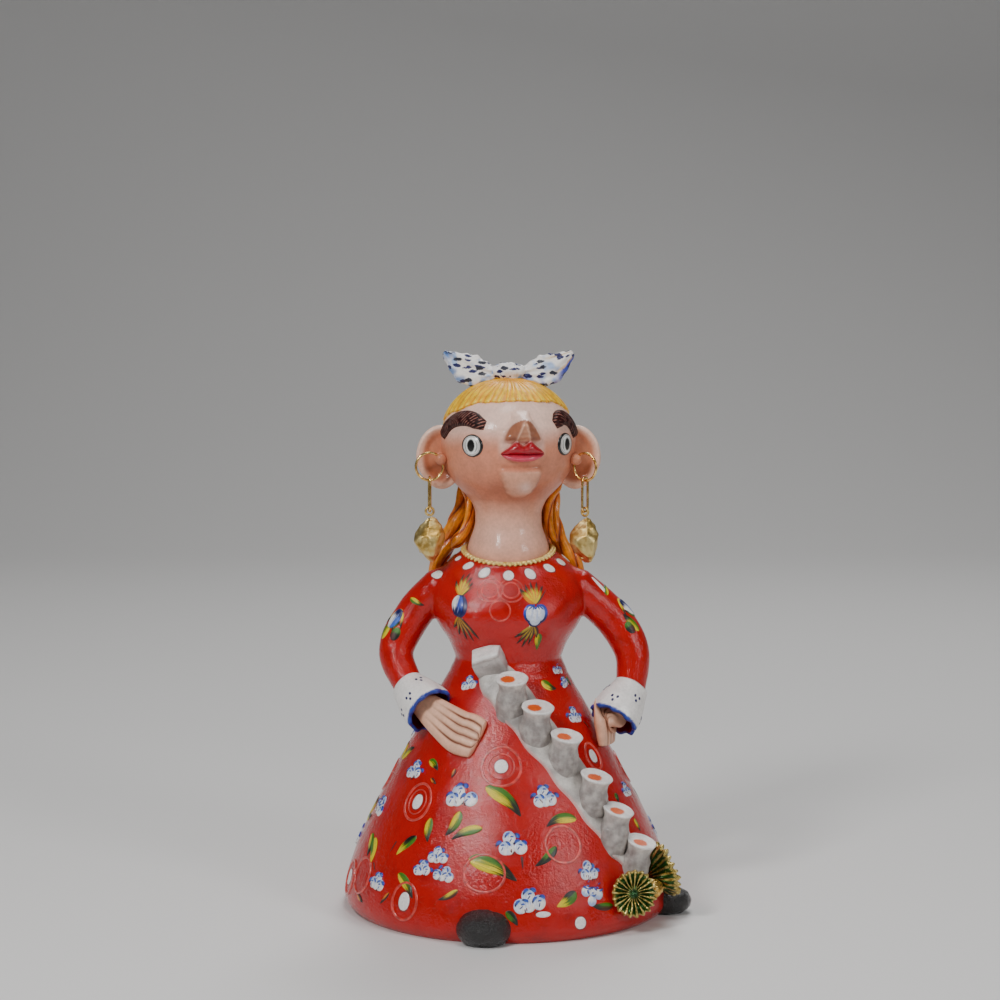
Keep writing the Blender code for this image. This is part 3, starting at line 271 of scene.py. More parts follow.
def sleeve(side):
    """An arm's surface. Angles run from its outer side towards the front, distances from the shoulder."""
    path, _ = arm_path(side)
    frames = frames_along(path, direction(side * 90))
    lengths = [0.0]
    for first, second in zip(path, path[1:], strict=False):
        lengths.append(lengths[-1] + (second - first).length)

    def surface(angle, distance):
        i = max(0, min(len(path) - 2,
                       next((k for k, at in enumerate(lengths) if at > distance), len(path)) - 1))
        share = min(max((distance - lengths[i]) / (lengths[i + 1] - lengths[i]), 0), 1)
        middle = path[i].lerp(path[i + 1], share)
        across = frames[i][0].lerp(frames[i + 1][0], share)
        out = frames[i][1].lerp(frames[i + 1][1], share)
        radius = WRIST_RADIUS + (ARM_RADIUS - WRIST_RADIUS) * min(1, 2 * (1 - distance / lengths[-1]))
        turn = math.radians(angle)
        forward = across if across.y < 0 else -across
        return middle + (out * math.cos(turn) + forward * math.sin(turn)) * radius

    return surface


def normal_of(surface, u, v):
    around = surface(u + 0.5, v) - surface(u - 0.5, v)
    upward = surface(u, v + 0.2 * MM) - surface(u, v - 0.2 * MM)
    return around.cross(upward).normalized()


def off(surface, u, v, proud):
    return surface(u, v) + normal_of(surface, u, v) * proud


# ---------------------------------------------------------------- meshes and pieces


def mesh_of(rows, faces, closed=True):
    mesh = bpy.data.meshes.new("shape")
    mesh.from_pydata([tuple(point) for row in rows for point in row], [], faces)
    if closed:
        outward(mesh)
    mesh.shade_smooth()
    return mesh


def lofted(rows, closed=True):
    """A mesh over rows of points. Each row is a ring where closed, and the end rings are filled."""
    count = len(rows[0])
    faces = []
    for j in range(len(rows) - 1):
        for i in range(count if closed else count - 1):
            k = (i + 1) % count
            faces.append((j * count + i, j * count + k, (j + 1) * count + k, (j + 1) * count + i))
    if closed:
        faces.append(tuple(reversed(range(count))))
        faces.append(tuple(range((len(rows) - 1) * count, len(rows) * count)))
    return mesh_of(rows, faces, closed)


def looped(rows):
    """A mesh over rings of points that run round a loop."""
    count, total = len(rows[0]), len(rows)
    faces = []
    for j in range(total):
        for i in range(count):
            k, n = (i + 1) % count, (j + 1) % total
            faces.append((j * count + i, j * count + k, n * count + k, n * count + i))
    return mesh_of(rows, faces)


def outward(mesh):
    shape = bmesh.new()
    shape.from_mesh(mesh)
    bmesh.ops.recalc_face_normals(shape, faces=shape.faces)
    shape.to_mesh(mesh)
    shape.free()


def ring(centre, across, along, half_width, half_depth, sides, power=1.0):
    points = []
    for i in range(sides):
        angle = 2 * math.pi * i / sides
        c, s = math.cos(angle), math.sin(angle)
        points.append(
            centre
            + across * half_width * math.copysign(abs(c) ** power, c)
            + along * half_depth * math.copysign(abs(s) ** power, s)
        )
    return points


def painted(mesh, paints):
    """Gives each point of a mesh its colour, in order."""
    layer = mesh.attributes.new("paint", "FLOAT_COLOR", "POINT")
    layer.data.foreach_set("color", [value for paint in paints for value in (*paint, 1.0)])
    return mesh


def dye(mesh, colour_at):
    """Colours each point of a mesh by a function of its place."""
    return painted(mesh, [colour_at(vertex.co) for vertex in mesh.vertices])


def pushed(mesh, distance_at):
    """Moves each point of a mesh along its normal."""
    moves = [(vertex.co + vertex.normal * distance_at(vertex.co)) for vertex in mesh.vertices]
    for vertex, moved in zip(mesh.vertices, moves, strict=True):
        vertex.co = moved
    mesh.update()
    return mesh


def joined(meshes):
    """One mesh that holds all of these."""
    shape = bmesh.new()
    for mesh in meshes:
        shape.from_mesh(mesh)
    made = bpy.data.meshes.new("shape")
    shape.to_mesh(made)
    shape.free()
    made.shade_smooth()
    return made


def in_scene(name, data):
    made = bpy.data.objects.new(name, data)
    bpy.context.scene.collection.objects.link(made)
    return made


def settled(made):
    """The mesh of an object with its modifiers applied. The object itself is removed."""
    skin = bpy.data.meshes.new_from_object(made.evaluated_get(bpy.context.evaluated_depsgraph_get()))
    bpy.data.objects.remove(made, do_unlink=True)
    skin.shade_smooth()
    return skin


def remeshed(meshes, voxel, rounds):
    """One smooth skin over closed meshes that overlap."""
    made = in_scene("shape", joined(meshes))
    remesh = made.modifiers.new("remesh", "REMESH")
    remesh.mode = "VOXEL"
    remesh.voxel_size = voxel
    soften = made.modifiers.new("soften", "SMOOTH")
    soften.iterations = rounds
    return settled(made)


def bored(mesh, centre, along, radius, half_length):
    """The mesh with a round hole through it."""
    first = along.orthogonal().normalized()
    second = along.cross(first)
    rod = in_scene("rod", lofted([ring(centre + along * way * half_length, first, second, radius, radius, 32)
                                  for way in (-1, 1)]))
    body = in_scene("body", mesh)
    hole = body.modifiers.new("hole", "BOOLEAN")
    hole.operation, hole.object, hole.solver = "DIFFERENCE", rod, "EXACT"
    cut = settled(body)
    bpy.data.objects.remove(rod, do_unlink=True)
    return cut


def piece(name, mesh, paint, nodes=(), body="figure"):
    """A visible piece in one finish, which rides a body and stands for these nodes."""
    made = in_scene(name, mesh)
    mesh.materials.clear()
    mesh.materials.append(paint)
    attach(made, body)
    if nodes:
        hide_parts(*nodes)
    return made


def tree_of(mesh):
    return BVHTree.FromPolygons([v.co for v in mesh.vertices], [tuple(p.vertices) for p in mesh.polygons])


# ---------------------------------------------------------------- finishes


def node(tree, kind, inputs=None, **settings):
    made = tree.nodes.new(kind)
    for key, value in settings.items():
        setattr(made, key, value)
    for key, value in (inputs or {}).items():
        if isinstance(value, bpy.types.NodeSocket):
            tree.links.new(value, made.inputs[key])
        else:
            made.inputs[key].default_value = value
    return made


def speckle(tree, size, detail=3.0, stretch=(1, 1, 1), source=None, roughness=0.55):
    """Noise between 0 and 1 with features of this size, stretched along the axes."""
    if source is None:
        source = node(tree, "ShaderNodeTexCoord").outputs["Object"]
    scaled = node(tree, "ShaderNodeMapping", {"Vector": source, "Scale": stretch})
    made = node(tree, "ShaderNodeTexNoise",
                {"Vector": scaled.outputs[0], "Scale": 1 / size, "Detail": detail, "Roughness": roughness})
    return made.outputs["Fac"]


def turn_at(tree, value, low, high, start=0.0, end=1.0):
    made = node(tree, "ShaderNodeMapRange",
                {"Value": value, "From Min": low, "From Max": high, "To Min": start,
                                             "To Max": end}, interpolation_type="SMOOTHSTEP")
    return made.outputs[0]


def mixed(tree, factor, first, second):
    made = node(tree, "ShaderNodeMix", data_type="RGBA")
    for index, value in ((0, factor), (6, first), (7, second)):
        if isinstance(value, bpy.types.NodeSocket):
            tree.links.new(value, made.inputs[index])
        else:
            made.inputs[index].default_value = value if index == 0 else (*value, 1)
    return made.outputs[2]


def summed(tree, first, second, weight):
    return node(tree, "ShaderNodeMath", {0: second, 1: weight, 2: first}, operation="MULTIPLY_ADD").outputs[0]


def finish(name, colour, roughness, height=None, bump_mm=0.1, coat=0.0, coat_roughness=0.12,
           metallic=0.0,
           specular=0.5):
    """A material whose colour and roughness come from functions of its node tree, or are plain values."""
    made = bpy.data.materials.new(name)
    made.use_nodes = True
    tree = made.node_tree
    shader = tree.nodes["Principled BSDF"]
    for key, value in (("Base Color", colour), ("Roughness", roughness), ("Metallic", metallic)):
        if callable(value):
            tree.links.new(value(tree), shader.inputs[key])
        else:
            shader.inputs[key].default_value = (*value, 1) if key == "Base Color" else value
    shader.inputs["Coat Weight"].default_value = coat
    shader.inputs["Coat Roughness"].default_value = coat_roughness
    shader.inputs["Specular IOR Level"].default_value = specular
    if height:
        relief = node(tree, "ShaderNodeBump", {"Height": height(tree), "Distance": bump_mm * MM})
        tree.links.new(relief.outputs[0], shader.inputs["Normal"])
        if coat:
            tree.links.new(relief.outputs[0], shader.inputs["Coat Normal"])
    return made


def attribute(tree, name="paint"):
    return node(tree, "ShaderNodeAttribute", attribute_name=name).outputs["Color"]


def tinted(base, size, low=0.82, high=1.12):
    """The base colour, a little darker and lighter in patches."""

    def colour(tree):
        if isinstance(base, str):
            first = attribute(tree, base)
        else:
            made = node(tree, "ShaderNodeRGB")
            made.outputs[0].default_value = (*base, 1)
            first = made.outputs[0]
        level = turn_at(tree, speckle(tree, size, 5), 0.3, 0.7, low, high)
        fine = turn_at(tree, speckle(tree, 0.22 * size, 3), 0.3, 0.7, 0.94, 1.06)
        both = node(tree, "ShaderNodeMath", {0: level, 1: fine}, operation="MULTIPLY").outputs[0]
        scaled = node(tree, "ShaderNodeVectorMath", {0: first, "Scale": both}, operation="SCALE")
        return scaled.outputs[0]

    return colour


def brushed(size, stretch, fine=0.35):
    """Brush marks, with finer lumps of paint between them."""

    def height(tree):
        marks = speckle(tree, size, 3, stretch)
        lumps = speckle(tree, 0.4 * size, 4)
        return summed(tree, marks, lumps, fine)

    return height


def uneven(size, low, high):
    return lambda tree: turn_at(tree, speckle(tree, size, 4), 0.3, 0.7, low, high)


# Where the painted sheen on the dress is strongest.
SHEEN_PLACE = off(skirt, -4, 80 * MM, 0)


def dress_colour(tree):
    """Glossy red: deeper where the paint is thin, with pinkish patches and flecks of painted sheen for light
    caught on the varnish.
    """
    base = node(tree, "ShaderNodeRGB").outputs[0]
    base.default_value = (*RED, 1)
    deep = mixed(tree, turn_at(tree, speckle(tree, 9 * MM, 5), 0.45, 0.75, 0, 0.45), base, DEEP_RED)
    warm = mixed(tree, turn_at(tree, speckle(tree, 3.5 * MM, 5, (1, 1, 0.6)), 0.55, 0.8, 0, 0.4), deep,
                 (0.56, 0.008, 0.003))
    # Pinkish patches and flecks of painted sheen: light caught on the varnish, painted into the colour.
    sheen_patches = turn_at(tree, speckle(tree, 16 * MM, 3), 0.5, 0.66)
    sheen_flecks = turn_at(tree, speckle(tree, 3.2 * MM, 8, (1.3, 1.3, 0.8), None, 0.7), 0.54, 0.68, 0, 0.42)
    # The painted sheen is thickest at the front, beside the sash, under the left hand.
    place_of = node(tree, "ShaderNodeTexCoord").outputs["Object"]
    away = node(tree, "ShaderNodeVectorMath", {0: place_of, 1: tuple(SHEEN_PLACE)},
                operation="DISTANCE").outputs["Value"]
    near = turn_at(tree, away, 36 * MM, 8 * MM, 0.08, 1.6)
    patchy = node(tree, "ShaderNodeMath", {0: sheen_patches, 1: near}, operation="MULTIPLY").outputs[0]
    both = node(tree, "ShaderNodeMath", {0: patchy, 1: sheen_flecks}, operation="MULTIPLY",
                use_clamp=True).outputs[0]
    return mixed(tree, both, warm, (0.62, 0.13, 0.10))


def stroke_colour(tree):
    """A loaded brush leaves one colour on each side and another at the tip, in streaks along the stroke."""
    flow = node(tree, "ShaderNodeAttribute", attribute_name="flow").outputs["Vector"]
    apart = node(tree, "ShaderNodeSeparateXYZ", {0: flow})
    streak = speckle(tree, 1.0, 4, (1.6, 5.5, 1.0), flow)
    side = summed(tree, apart.outputs["Y"], streak, 1.5)
    side = turn_at(tree, side, 0.45, 1.05)
    body = mixed(tree, side, attribute(tree, "paint_a"), attribute(tree, "paint_b"))
    tip = turn_at(tree, summed(tree, apart.outputs["X"], streak, 0.9), 0.95, 1.2)
    colour = mixed(tree, tip, body, attribute(tree, "paint_c"))
    level = turn_at(tree, speckle(tree, 0.8 * MM, 4), 0.3, 0.7, 0.86, 1.1)
    return node(tree, "ShaderNodeVectorMath", {0: colour, "Scale": level}, operation="SCALE").outputs[0]


def stroke_height(tree):
    flow = node(tree, "ShaderNodeAttribute", attribute_name="flow").outputs["Vector"]
    return speckle(tree, 1.0, 4, (2.0, 7.0, 1.0), flow)


def bow_colour(tree):
    """White over the painted colour, with short slanting dark dabs and a few blue ones."""
    base = attribute(tree)
    at = node(tree, "ShaderNodeTexCoord").outputs["Object"]
    warp = node(tree, "ShaderNodeTexNoise",
                {"Vector": at, "Scale": 1 / (1.6 * MM), "Detail": 2}).outputs["Color"]
    shift = node(tree, "ShaderNodeVectorMath", {0: warp, "Scale": 1.5 * MM}, operation="SCALE").outputs[0]
    bent = node(tree, "ShaderNodeVectorMath", {0: at, 1: shift}, operation="ADD").outputs[0]
    turned = node(tree, "ShaderNodeMapping",
                  {"Vector": bent, "Rotation": (0, 0.7, 0), "Scale": (0.5, 1, 1.15)}).outputs[0]
    colour = base
    for scale, low, high, paint in ((2.6, 0.40, 0.31, NAVY), (3.9, 0.30, 0.22, (0.01, 0.012, 0.03))):
        spots = node(tree, "ShaderNodeTexVoronoi",
                     {"Vector": turned, "Scale": 1 / (scale * MM), "Randomness": 1.0})
        colour = mixed(tree, turn_at(tree, spots.outputs["Distance"], low, high), colour, paint)
    return colour


def metal_colour(dark, light, size):
    def colour(tree):
        return mixed(tree, turn_at(tree, speckle(tree, size, 5), 0.35, 0.65), dark, light)

    return colour


RED_GLOSS = finish("red_gloss", dress_colour, uneven(4 * MM, 0.5, 0.65),
                   brushed(2.6 * MM, (1, 1, 0.6), 0.9), 0.30, 1.0, 0.03, specular=0.04)
# The stamped rings are a lighter red than the dress: painted highlight for light caught on their raised
# lines.
STAMP_GLOSS = finish("stamp_gloss", tinted((0.62, 0.05, 0.035), 2 * MM, 0.6, 1.35), 0.3,
                     brushed(1.5 * MM, (1, 1, 1)), 0.2, 0.85, 0.1)
STROKES = finish("brush_strokes", stroke_colour, uneven(2 * MM, 0.3, 0.5), stroke_height, 0.14,
                 0.3, 0.08)
SKIN_PAINT = finish("skin_paint", tinted("paint", 6 * MM, 0.93, 1.06), uneven(5 * MM, 0.4, 0.52),
                    brushed(4 * MM, (1, 1, 0.7)), 0.16, 0.3, 0.1, specular=0.25)
FACE_DETAIL = finish("face_detail", tinted("paint", 1.2 * MM, 0.9, 1.08), 0.3,
                     brushed(1.2 * MM, (1, 1, 1)), 0.06, 0.6)
BROW_PAINT = finish("brow_paint", tinted("paint", 1.5 * MM, 0.7, 1.25), 0.42,
                    brushed(1.0 * MM, (1, 1, 1)), 0.08, 0.1, specular=0.25)
LIP_PAINT = finish("lip_paint", tinted("paint", 2 * MM, 0.86, 1.12), 0.3,
                   brushed(1.4 * MM, (1, 1, 2)), 0.1, 0.5)
HAIR_PAINT = finish("hair_paint", tinted("paint", 2.5 * MM, 0.82, 1.1),
                    uneven(3 * MM, 0.35, 0.55),
                    brushed(1.0 * MM, (1, 1, 1)), 0.12, 0.25)
LOCK_PAINT = finish("lock_paint", tinted("paint", 2.5 * MM, 0.8, 1.12),
                    uneven(3 * MM, 0.3, 0.5),
                    brushed(1.2 * MM, (1, 1, 0.5)), 0.14, 0.4)
BOW_PAINT = finish("bow_paint", bow_colour, 0.42, brushed(1.1 * MM, (1, 1, 1), 0.6), 0.25, 0.3)
TRIM_PAINT = finish("trim_paint", tinted("paint", 1.5 * MM, 0.8, 1.15), 0.35,
                    brushed(0.6 * MM, (1, 1, 1)), 0.06, 0.4, 0.2, 0.35)
CUFF_PAINT = finish("cuff_paint", tinted("paint", 5 * MM, 0.93, 1.04),
                    uneven(4 * MM, 0.32, 0.48),
                    brushed(2.4 * MM, (1, 1, 0.6)), 0.2, 0.3)
SASH_PAINT = finish("sash_paint", tinted("paint", 3.5 * MM, 0.84, 1.06),
                    uneven(3 * MM, 0.34, 0.55),
                    brushed(1.8 * MM, (1, 1, 0.5), 0.6), 0.28, 0.25)
ROSETTE_PAINT = finish("rosette_paint", tinted("paint", 1.4 * MM, 0.75, 1.25),
                       uneven(1.5 * MM, 0.2, 0.4),
                       brushed(0.8 * MM, (1, 1, 1)), 0.1, 0.4, 0.1, 0.75)
GILT = finish("gilt_paint", metal_colour(OLD_GOLD, GOLD, 1.6 * MM), uneven(1.2 * MM, 0.18, 0.4),
              brushed(0.9 * MM, (1, 1, 1)), 0.12, metallic=1.0)
DROP_GILT = finish("drop_gilt", metal_colour(srgb(196, 158, 84), srgb(232, 208, 142), 4 * MM),
                   uneven(2 * MM, 0.34, 0.52), brushed(1.6 * MM, (1, 1, 1)), 0.1, metallic=1.0)
WIRE = finish("gilt_wire_metal", metal_colour(srgb(206, 156, 78), srgb(250, 214, 140), 2 * MM),
              uneven(1.5 * MM, 0.14, 0.3), brushed(1.0 * MM, (1, 1, 1)), 0.03, metallic=1.0)
SHOE_PAINT = finish("shoe_paint", tinted((0.004, 0.003, 0.003), 2 * MM, 0.6, 2.0),
                    uneven(2 * MM, 0.35, 0.5), brushed(1.8 * MM, (1, 1, 1), 0.9), 0.9, 1.0, 0.06,
                    specular=0.2)


# ---------------------------------------------------------------- the dress


def skirt_mesh():
    outer = [(skirt_radius(HEM_HEIGHT * i / 8), HEM_HEIGHT * i / 8) for i in range(8)]
    outer += [(skirt_radius(HEM_HEIGHT + (WAIST_LEVEL - HEM_HEIGHT) * i / 170),
               HEM_HEIGHT + (WAIST_LEVEL - HEM_HEIGHT)
               * i / 170) for i in range(171)]
    inner = [(skirt_radius(WAIST_LEVEL * i / 24) - 1.15 * SKIRT_WALL, WAIST_LEVEL * i / 24)
             for i in range(24, 0, -1)]
    inner.append((SKIRT_RADIUS - 2 * SKIRT_WALL, 0.0))
    rows = []
    for radius, height in [*outer, *inner]:
        row = []
        for i in range(400):
            point = AXIS + direction(0.9 * i) * radius + UP * height
            lump = 0.22 * grain(point, 16 * MM) + 0.12 * grain(point, 6 * MM, 3)
            row.append(point + direction(0.9 * i) * (lump - 0.25) * MM * smooth(height, 0, HEM_HEIGHT))
        rows.append(row)
    return looped(list(zip(*rows, strict=True)))


CAP_ROWS = 5


def tube(path, radii, frames, sides):
    """A tube along a path that ends in round caps."""
    def cap(end, beyond, k):
        turn = 0.5 * math.pi * (k + 0.3) / (CAP_ROWS + 0.3)
        tangent = (path[end] - path[beyond]).normalized()
        across, out = frames[end]
        size = radii[end] * math.sin(turn)
        return ring(path[end] + tangent * radii[end] * 0.7 * math.cos(turn), across, out, size, size, sides)

    rows = [cap(0, 1, k) for k in range(CAP_ROWS)]
    for point, radius, (across, out) in zip(path, radii, frames, strict=True):
        rows.append(ring(point, across, out, radius, radius, sides))
    return lofted([*rows, *(cap(-1, -2, k) for k in reversed(range(CAP_ROWS)))])


def arm_tube(side):
    path, along = arm_path(side)
    path = [*path, path[-1] + along * 3 * MM, path[-1] + along * 6 * MM]
    count = len(path)
    radii = [WRIST_RADIUS + (ARM_RADIUS - WRIST_RADIUS) * min(1, 2 * (1 - i / count)) for i in range(count)]
    radii[-2:] = [WRIST_RADIUS, WRIST_RADIUS]
    return tube(path, radii, frames_along(path, direction(side * 90)), 40)


def bodice_mesh():
    rows = []
    for height, inward in ((-9, 1.6), (-7, 0.5), (-5.5, 0.1), (-4, -0.15), (-2, -0.2)):
        rows.append([skirt(4 * i, WAIST_LEVEL + height * MM) - direction(4 * i) * inward * MM
                     for i in range(90)])
    for k in range(1, 61):
        rows.append([bodice(4 * i, BODICE_HEIGHT * k / 60) for i in range(90)])
    top = [AXIS + (point - AXIS - UP * point.z) * 0.9 + UP * (point.z - 0.4 * MM) for point in rows[-1]]
    rows.append(top)
    shapes = [lofted(rows)]
    for side in (LEFT, RIGHT):
        shapes.append(arm_tube(side))
        centre = place(side * 90, 27.5, 32.0)
        rounded = [ring(centre + direction(side * 90) * 8.5 * MM * math.cos(math.pi * (k + 0.2) / 12.4),
                        direction(0), UP, 9.4 * MM * math.sin(math.pi * (k + 0.2) / 12.4),
                        8.8 * MM * math.sin(math.pi * (k + 0.2) / 12.4), 40) for k in range(13)]
        shapes.append(lofted(rounded))
    skin = remeshed(shapes, 0.62 * MM, 10)
    return pushed(skin, lambda p: (0.14 * grain(p, 12 * MM) + 0.07 * grain(p, 5 * MM, 2)) * MM)


def build_dress():
    skirt_skin = skirt_mesh()
    piece("skirt", skirt_skin, RED_GLOSS, ["skirt_shell"])
    top_skin = bodice_mesh()
    piece("bodice_and_sleeves", top_skin, RED_GLOSS, ["bodice_shell", "left_arm", "right_arm"])
    return tree_of(skirt_skin), tree_of(top_skin)


def build_trim():
    """A twisted gold cord with a bead in each hollow, round the neckline."""
    beads = 54
    rows, bead_meshes = [], []
    radius = NECK_BASE_RADIUS + 1.0 * MM
    for i in range(beads * 8):
        azimuth = 360 * i / (beads * 8)
        wave = math.sin(math.radians(azimuth * beads))
        centre = AXIS + direction(azimuth) * (radius + 0.25 * MM
                                              * wave) + UP * (bodice(azimuth, BODICE_HEIGHT).z + 0.7 * MM)
        rows.append(ring(centre, direction(azimuth), UP, (0.75 + 0.2 * wave) * MM, 0.8 * MM, 10))
    for i in range(beads):
        azimuth = 360 * (i + 0.25) / beads
        centre = AXIS + direction(azimuth) * (radius + 1.15 * MM) + UP * (bodice(azimuth, BODICE_HEIGHT).z
                                                                          + 0.35 * MM)
        bead_meshes.append(ball(centre, (direction(azimuth + 90), direction(azimuth), UP), (0.72 * MM,) * 3,
                                8, 12))
    cord = joined([looped(rows), *bead_meshes])
    dye(cord, lambda p: blend(srgb(236, 190, 70), srgb(252, 232, 160), 0.5 + 0.6 * grain(p, 1.5 * MM)))
    piece("neckline_cord", cord, TRIM_PAINT, ["neckline_trim"])


def ball(centre, axes, radii, rings=24, sides=36, power=1.0):
    rows = []
    for k in range(rings + 1):
        turn = math.pi * (k + 0.15) / (rings + 0.3) - 0.5 * math.pi
        height, width = math.sin(turn), math.cos(turn)
        height = math.copysign(abs(height) ** power, height)
        rows.append(ring(centre + axes[2] * radii[2] * height, axes[0], axes[1], radii[0] * width**power,
                         radii[1] * width**power, sides, power))
    return lofted(rows)


# ---------------------------------------------------------------- the head

NOSE_PROFILE = ((1.4, 9.0, 0.6), (2.4, 9.4, 2.6), (4.4, 8.4, 4.4), (6.8, 7.0, 6.3), (9.0, 5.6, 7.7),
                (10.4, 4.8, 8.1),
                (11.4, 4.4, 7.2), (12.4, 4.2, 4.8), (13.6, 4.2, 2.0),
                (15.0, 4.0, 0.0))  # rise, half width, proud


def neck_radius(level):
    rise = level - NECKLINE_LEVEL
    base = NECK_RADIUS + (NECK_BASE_RADIUS - NECK_RADIUS) * (1 - smooth(rise, -1 * MM, 13 * MM))
    return base + 3.6 * MM * smooth(rise, 16 * MM, 27 * MM)


def along_face(azimuth, rise):
    """How far round the head a place is from the middle of the face, in mm."""
    flat = head(azimuth, rise) - AXIS
    return math.radians(signed(azimuth)) * math.hypot(flat.x, flat.y) / MM


def nose_proud(across, rise):
    if not NOSE_PROFILE[0][0] < rise < NOSE_PROFILE[-1][0] or abs(across) > 12:
        return 0.0
    width = read_off([(row[0], row[1]) for row in NOSE_PROFILE], rise)
    proud = read_off([(row[0], row[2]) for row in NOSE_PROFILE], rise)
    share = abs(across) / width
    flank = max(1 - share**2.0, 0) ** 1.15 if share < 1 else 0
    wings = 1.1 * bump(share, 0.72, 0.16) * bump(rise, 3.4, 1.6)
    ridge = 0.55 * bump(abs(across), 0.30 * (11.2 - rise),
                        0.55) * smooth(rise, 1.8, 3.0) * (1 - smooth(rise, 8.6, 10.4))
    return proud * flank + ridge + wings


# Rise and half width, in mm.
CHIN_SHAPE = ((-24.5, 0.5), (-22.5, 3.2), (-20.5, 5.0), (-17.5, 6.6), (-14.5, 7.8), (-12.0, 8.6), (-9.2, 8.8))


def chin_share(across, rise):
    """1 on the chin, falling to 0 round it."""
    half = read_off(CHIN_SHAPE, rise)
    return smooth(half - abs(across), -1.8,
                  1.9) * smooth(rise, -24.8, -20.8) * (1 - smooth(rise, -12.0, -9.4))


def chin_proud(across, rise):
    """A block under the lip that narrows to a rounded knob."""
    knob = bump(math.hypot(across, 1.1 * (rise + 18.2)), 0, 4.8)
    return chin_share(across, rise) * (2.6 + 1.5 * knob)


def face_paint(azimuth, rise, level):
    """Pale forehead and chin, tan cheeks and jaw, brown facets of painted shade under the nose with painted
    highlights along their ridges, and a pinkish neck; also painted shade under the jaw, the chin and the
    lower lip, a painted shadow of the chin on the neck, and a painted highlight on the chin's knob.
    """
    across = along_face(azimuth, rise * MM) if rise > -25 else 99
    colour = blend(TAN, PALE_SKIN, smooth(rise, -3.5, 8.5))
    colour = blend(colour, srgb(212, 138, 112), 0.6 * bump(abs(across), 20, 12) * bump(rise, -3, 9))
    # Painted shade low on the jaw, where the head turns under.
    colour = blend(colour, srgb(196, 118, 90), 0.7 * smooth(-rise, 9, 19) * smooth(rise, -27, -23))
    below = 1 - smooth(level / MM, 170, 187)
    colour = blend(colour, srgb(228, 164, 138), 0.9 * below)
    # Painted shadow of the chin on the front of the neck.
    colour = blend(colour, srgb(172, 102, 78), 0.55 * bump(level / MM, 184, 6) * bump(signed(azimuth), 0, 40))
    colour = blend(colour, srgb(238, 190, 168), 0.6 * bump(level / MM, 166, 8))
    front = abs(across) < 14
    if front:
        colour = blend(colour, PALE_SKIN, 0.7 * smooth(11.5 - abs(across), 0, 3) * bump(rise, -0.5, 3.6))
        chin = chin_share(across, rise)
        colour = blend(colour, srgb(232, 174, 146), 0.62 * chin)
        colour = blend(colour, srgb(206, 142, 114), 0.5 * chin * bump(rise, -15.4, 1.5))
        # A painted highlight on the chin's knob.
        colour = blend(colour, srgb(246, 212, 196),
                       0.6 * chin * bump(math.hypot(across - 1.5, rise + 18.4), 0, 2.6))
        # Painted shade round the chin's lower edge, where it turns under.
        colour = blend(colour, srgb(160, 92, 66), 0.55 * bump(chin, 0.25, 0.2) * smooth(-rise, 12, 18))
        # Painted shadow under the lower lip.
        colour = blend(colour, srgb(176, 104, 78),
                       0.5 * bump(rise, -9.0, 0.9) * smooth(9.5 - abs(across), 0, 1.5))
    # The nose's underside is painted shade: darker facets, darker nostrils and outer edges, with painted
    # highlights along the two ridges that run down from the tip.
    if front and 1.6 < rise < 11.6:
        width = 8.0 * max(1 - (max(rise - 1.8, 0) / 9.6) ** 1.7, 0) ** 0.66
        share = abs(across) / max(width, 0.05)
        under = smooth(1.06 - share, 0, 0.2) * smooth(rise, 1.7, 2.6)
        lambda_line = 0.30 * (11.2 - rise)
        inside = smooth(lambda_line - abs(across), -0.2, 0.5)
        facet = blend(srgb(160, 96, 66), srgb(196, 134, 102), inside)
        facet = blend(facet, srgb(232, 178, 148),
                      0.85 * bump(abs(across), lambda_line, 0.42) * (1 - smooth(rise, 9, 11)))
        facet = blend(facet, srgb(112, 58, 38),
                      0.75 * bump(math.hypot(abs(across) - 3.9, 1.4 * (rise - 3.1)), 0, 1.3))
        facet = blend(facet, srgb(134, 76, 52), 0.4 * smooth(share, 0.6, 0.95))
        colour = blend(colour, facet, 0.94 * under)
    return colour


def build_head():
    levels = []
    level = NECKLINE_LEVEL - 8 * MM
    while level < HEAD_LEVEL + 19 * MM:
        near_jaw = 0.35 if abs(level - HEAD_LEVEL + 23 * MM) < 6 * MM else 0.48
        levels.append(level)
        level += near_jaw * MM
    for k in range(1, 24):
        levels.append(HEAD_LEVEL + CROWN_HEIGHT * math.sin(math.radians(47 + 43 * k / 24)))
    azimuths = [signed(-180 + 360 * i / 440 + 26 * math.sin(math.radians(360 * i / 440))) for i in range(440)]
    rows, paints = [], []
    for level in levels:
        rise = level - HEAD_LEVEL
        row = []
        for azimuth in azimuths:
            flat = head(azimuth, max(rise, -JAW_HEIGHT)) - AXIS
            flat.z = 0
            reach = flat.length
            neck = neck_radius(level) * (1 - 0.7 * smooth(rise, -17 * MM, -6 * MM)) if rise < -6 * MM else 0.0
            soft = 2.6 * MM * (1 - 0.9 * smooth(rise, -17 * MM, -6 * MM))
            gap = (reach - neck) / soft
            merged = soft * math.log(math.exp(min(gap, 30)) + 1) + neck if gap < 30 else reach
            across, high = along_face(azimuth, rise) if rise > -JAW_HEIGHT else 99, rise / MM
            merged += (nose_proud(across, high)
                       + (chin_proud(across, high) if high > -25 and abs(across) < 12 else 0)) * MM
            out = direction(azimuth + FACE_TURN)
            point = AXIS + out * merged + UP * level
            lump = 0.10 * grain(point, 9 * MM) + 0.05 * grain(point, 4 * MM, 2)
            row.append(point + out * lump * MM)
            paints.append(face_paint(azimuth, high, level))
        rows.append(row)
    mesh = painted(lofted(rows), paints)
    piece("head_and_neck", mesh, SKIN_PAINT, ["head_shell", "neck", "nose", "chin_pad"])
    return tree_of(mesh)


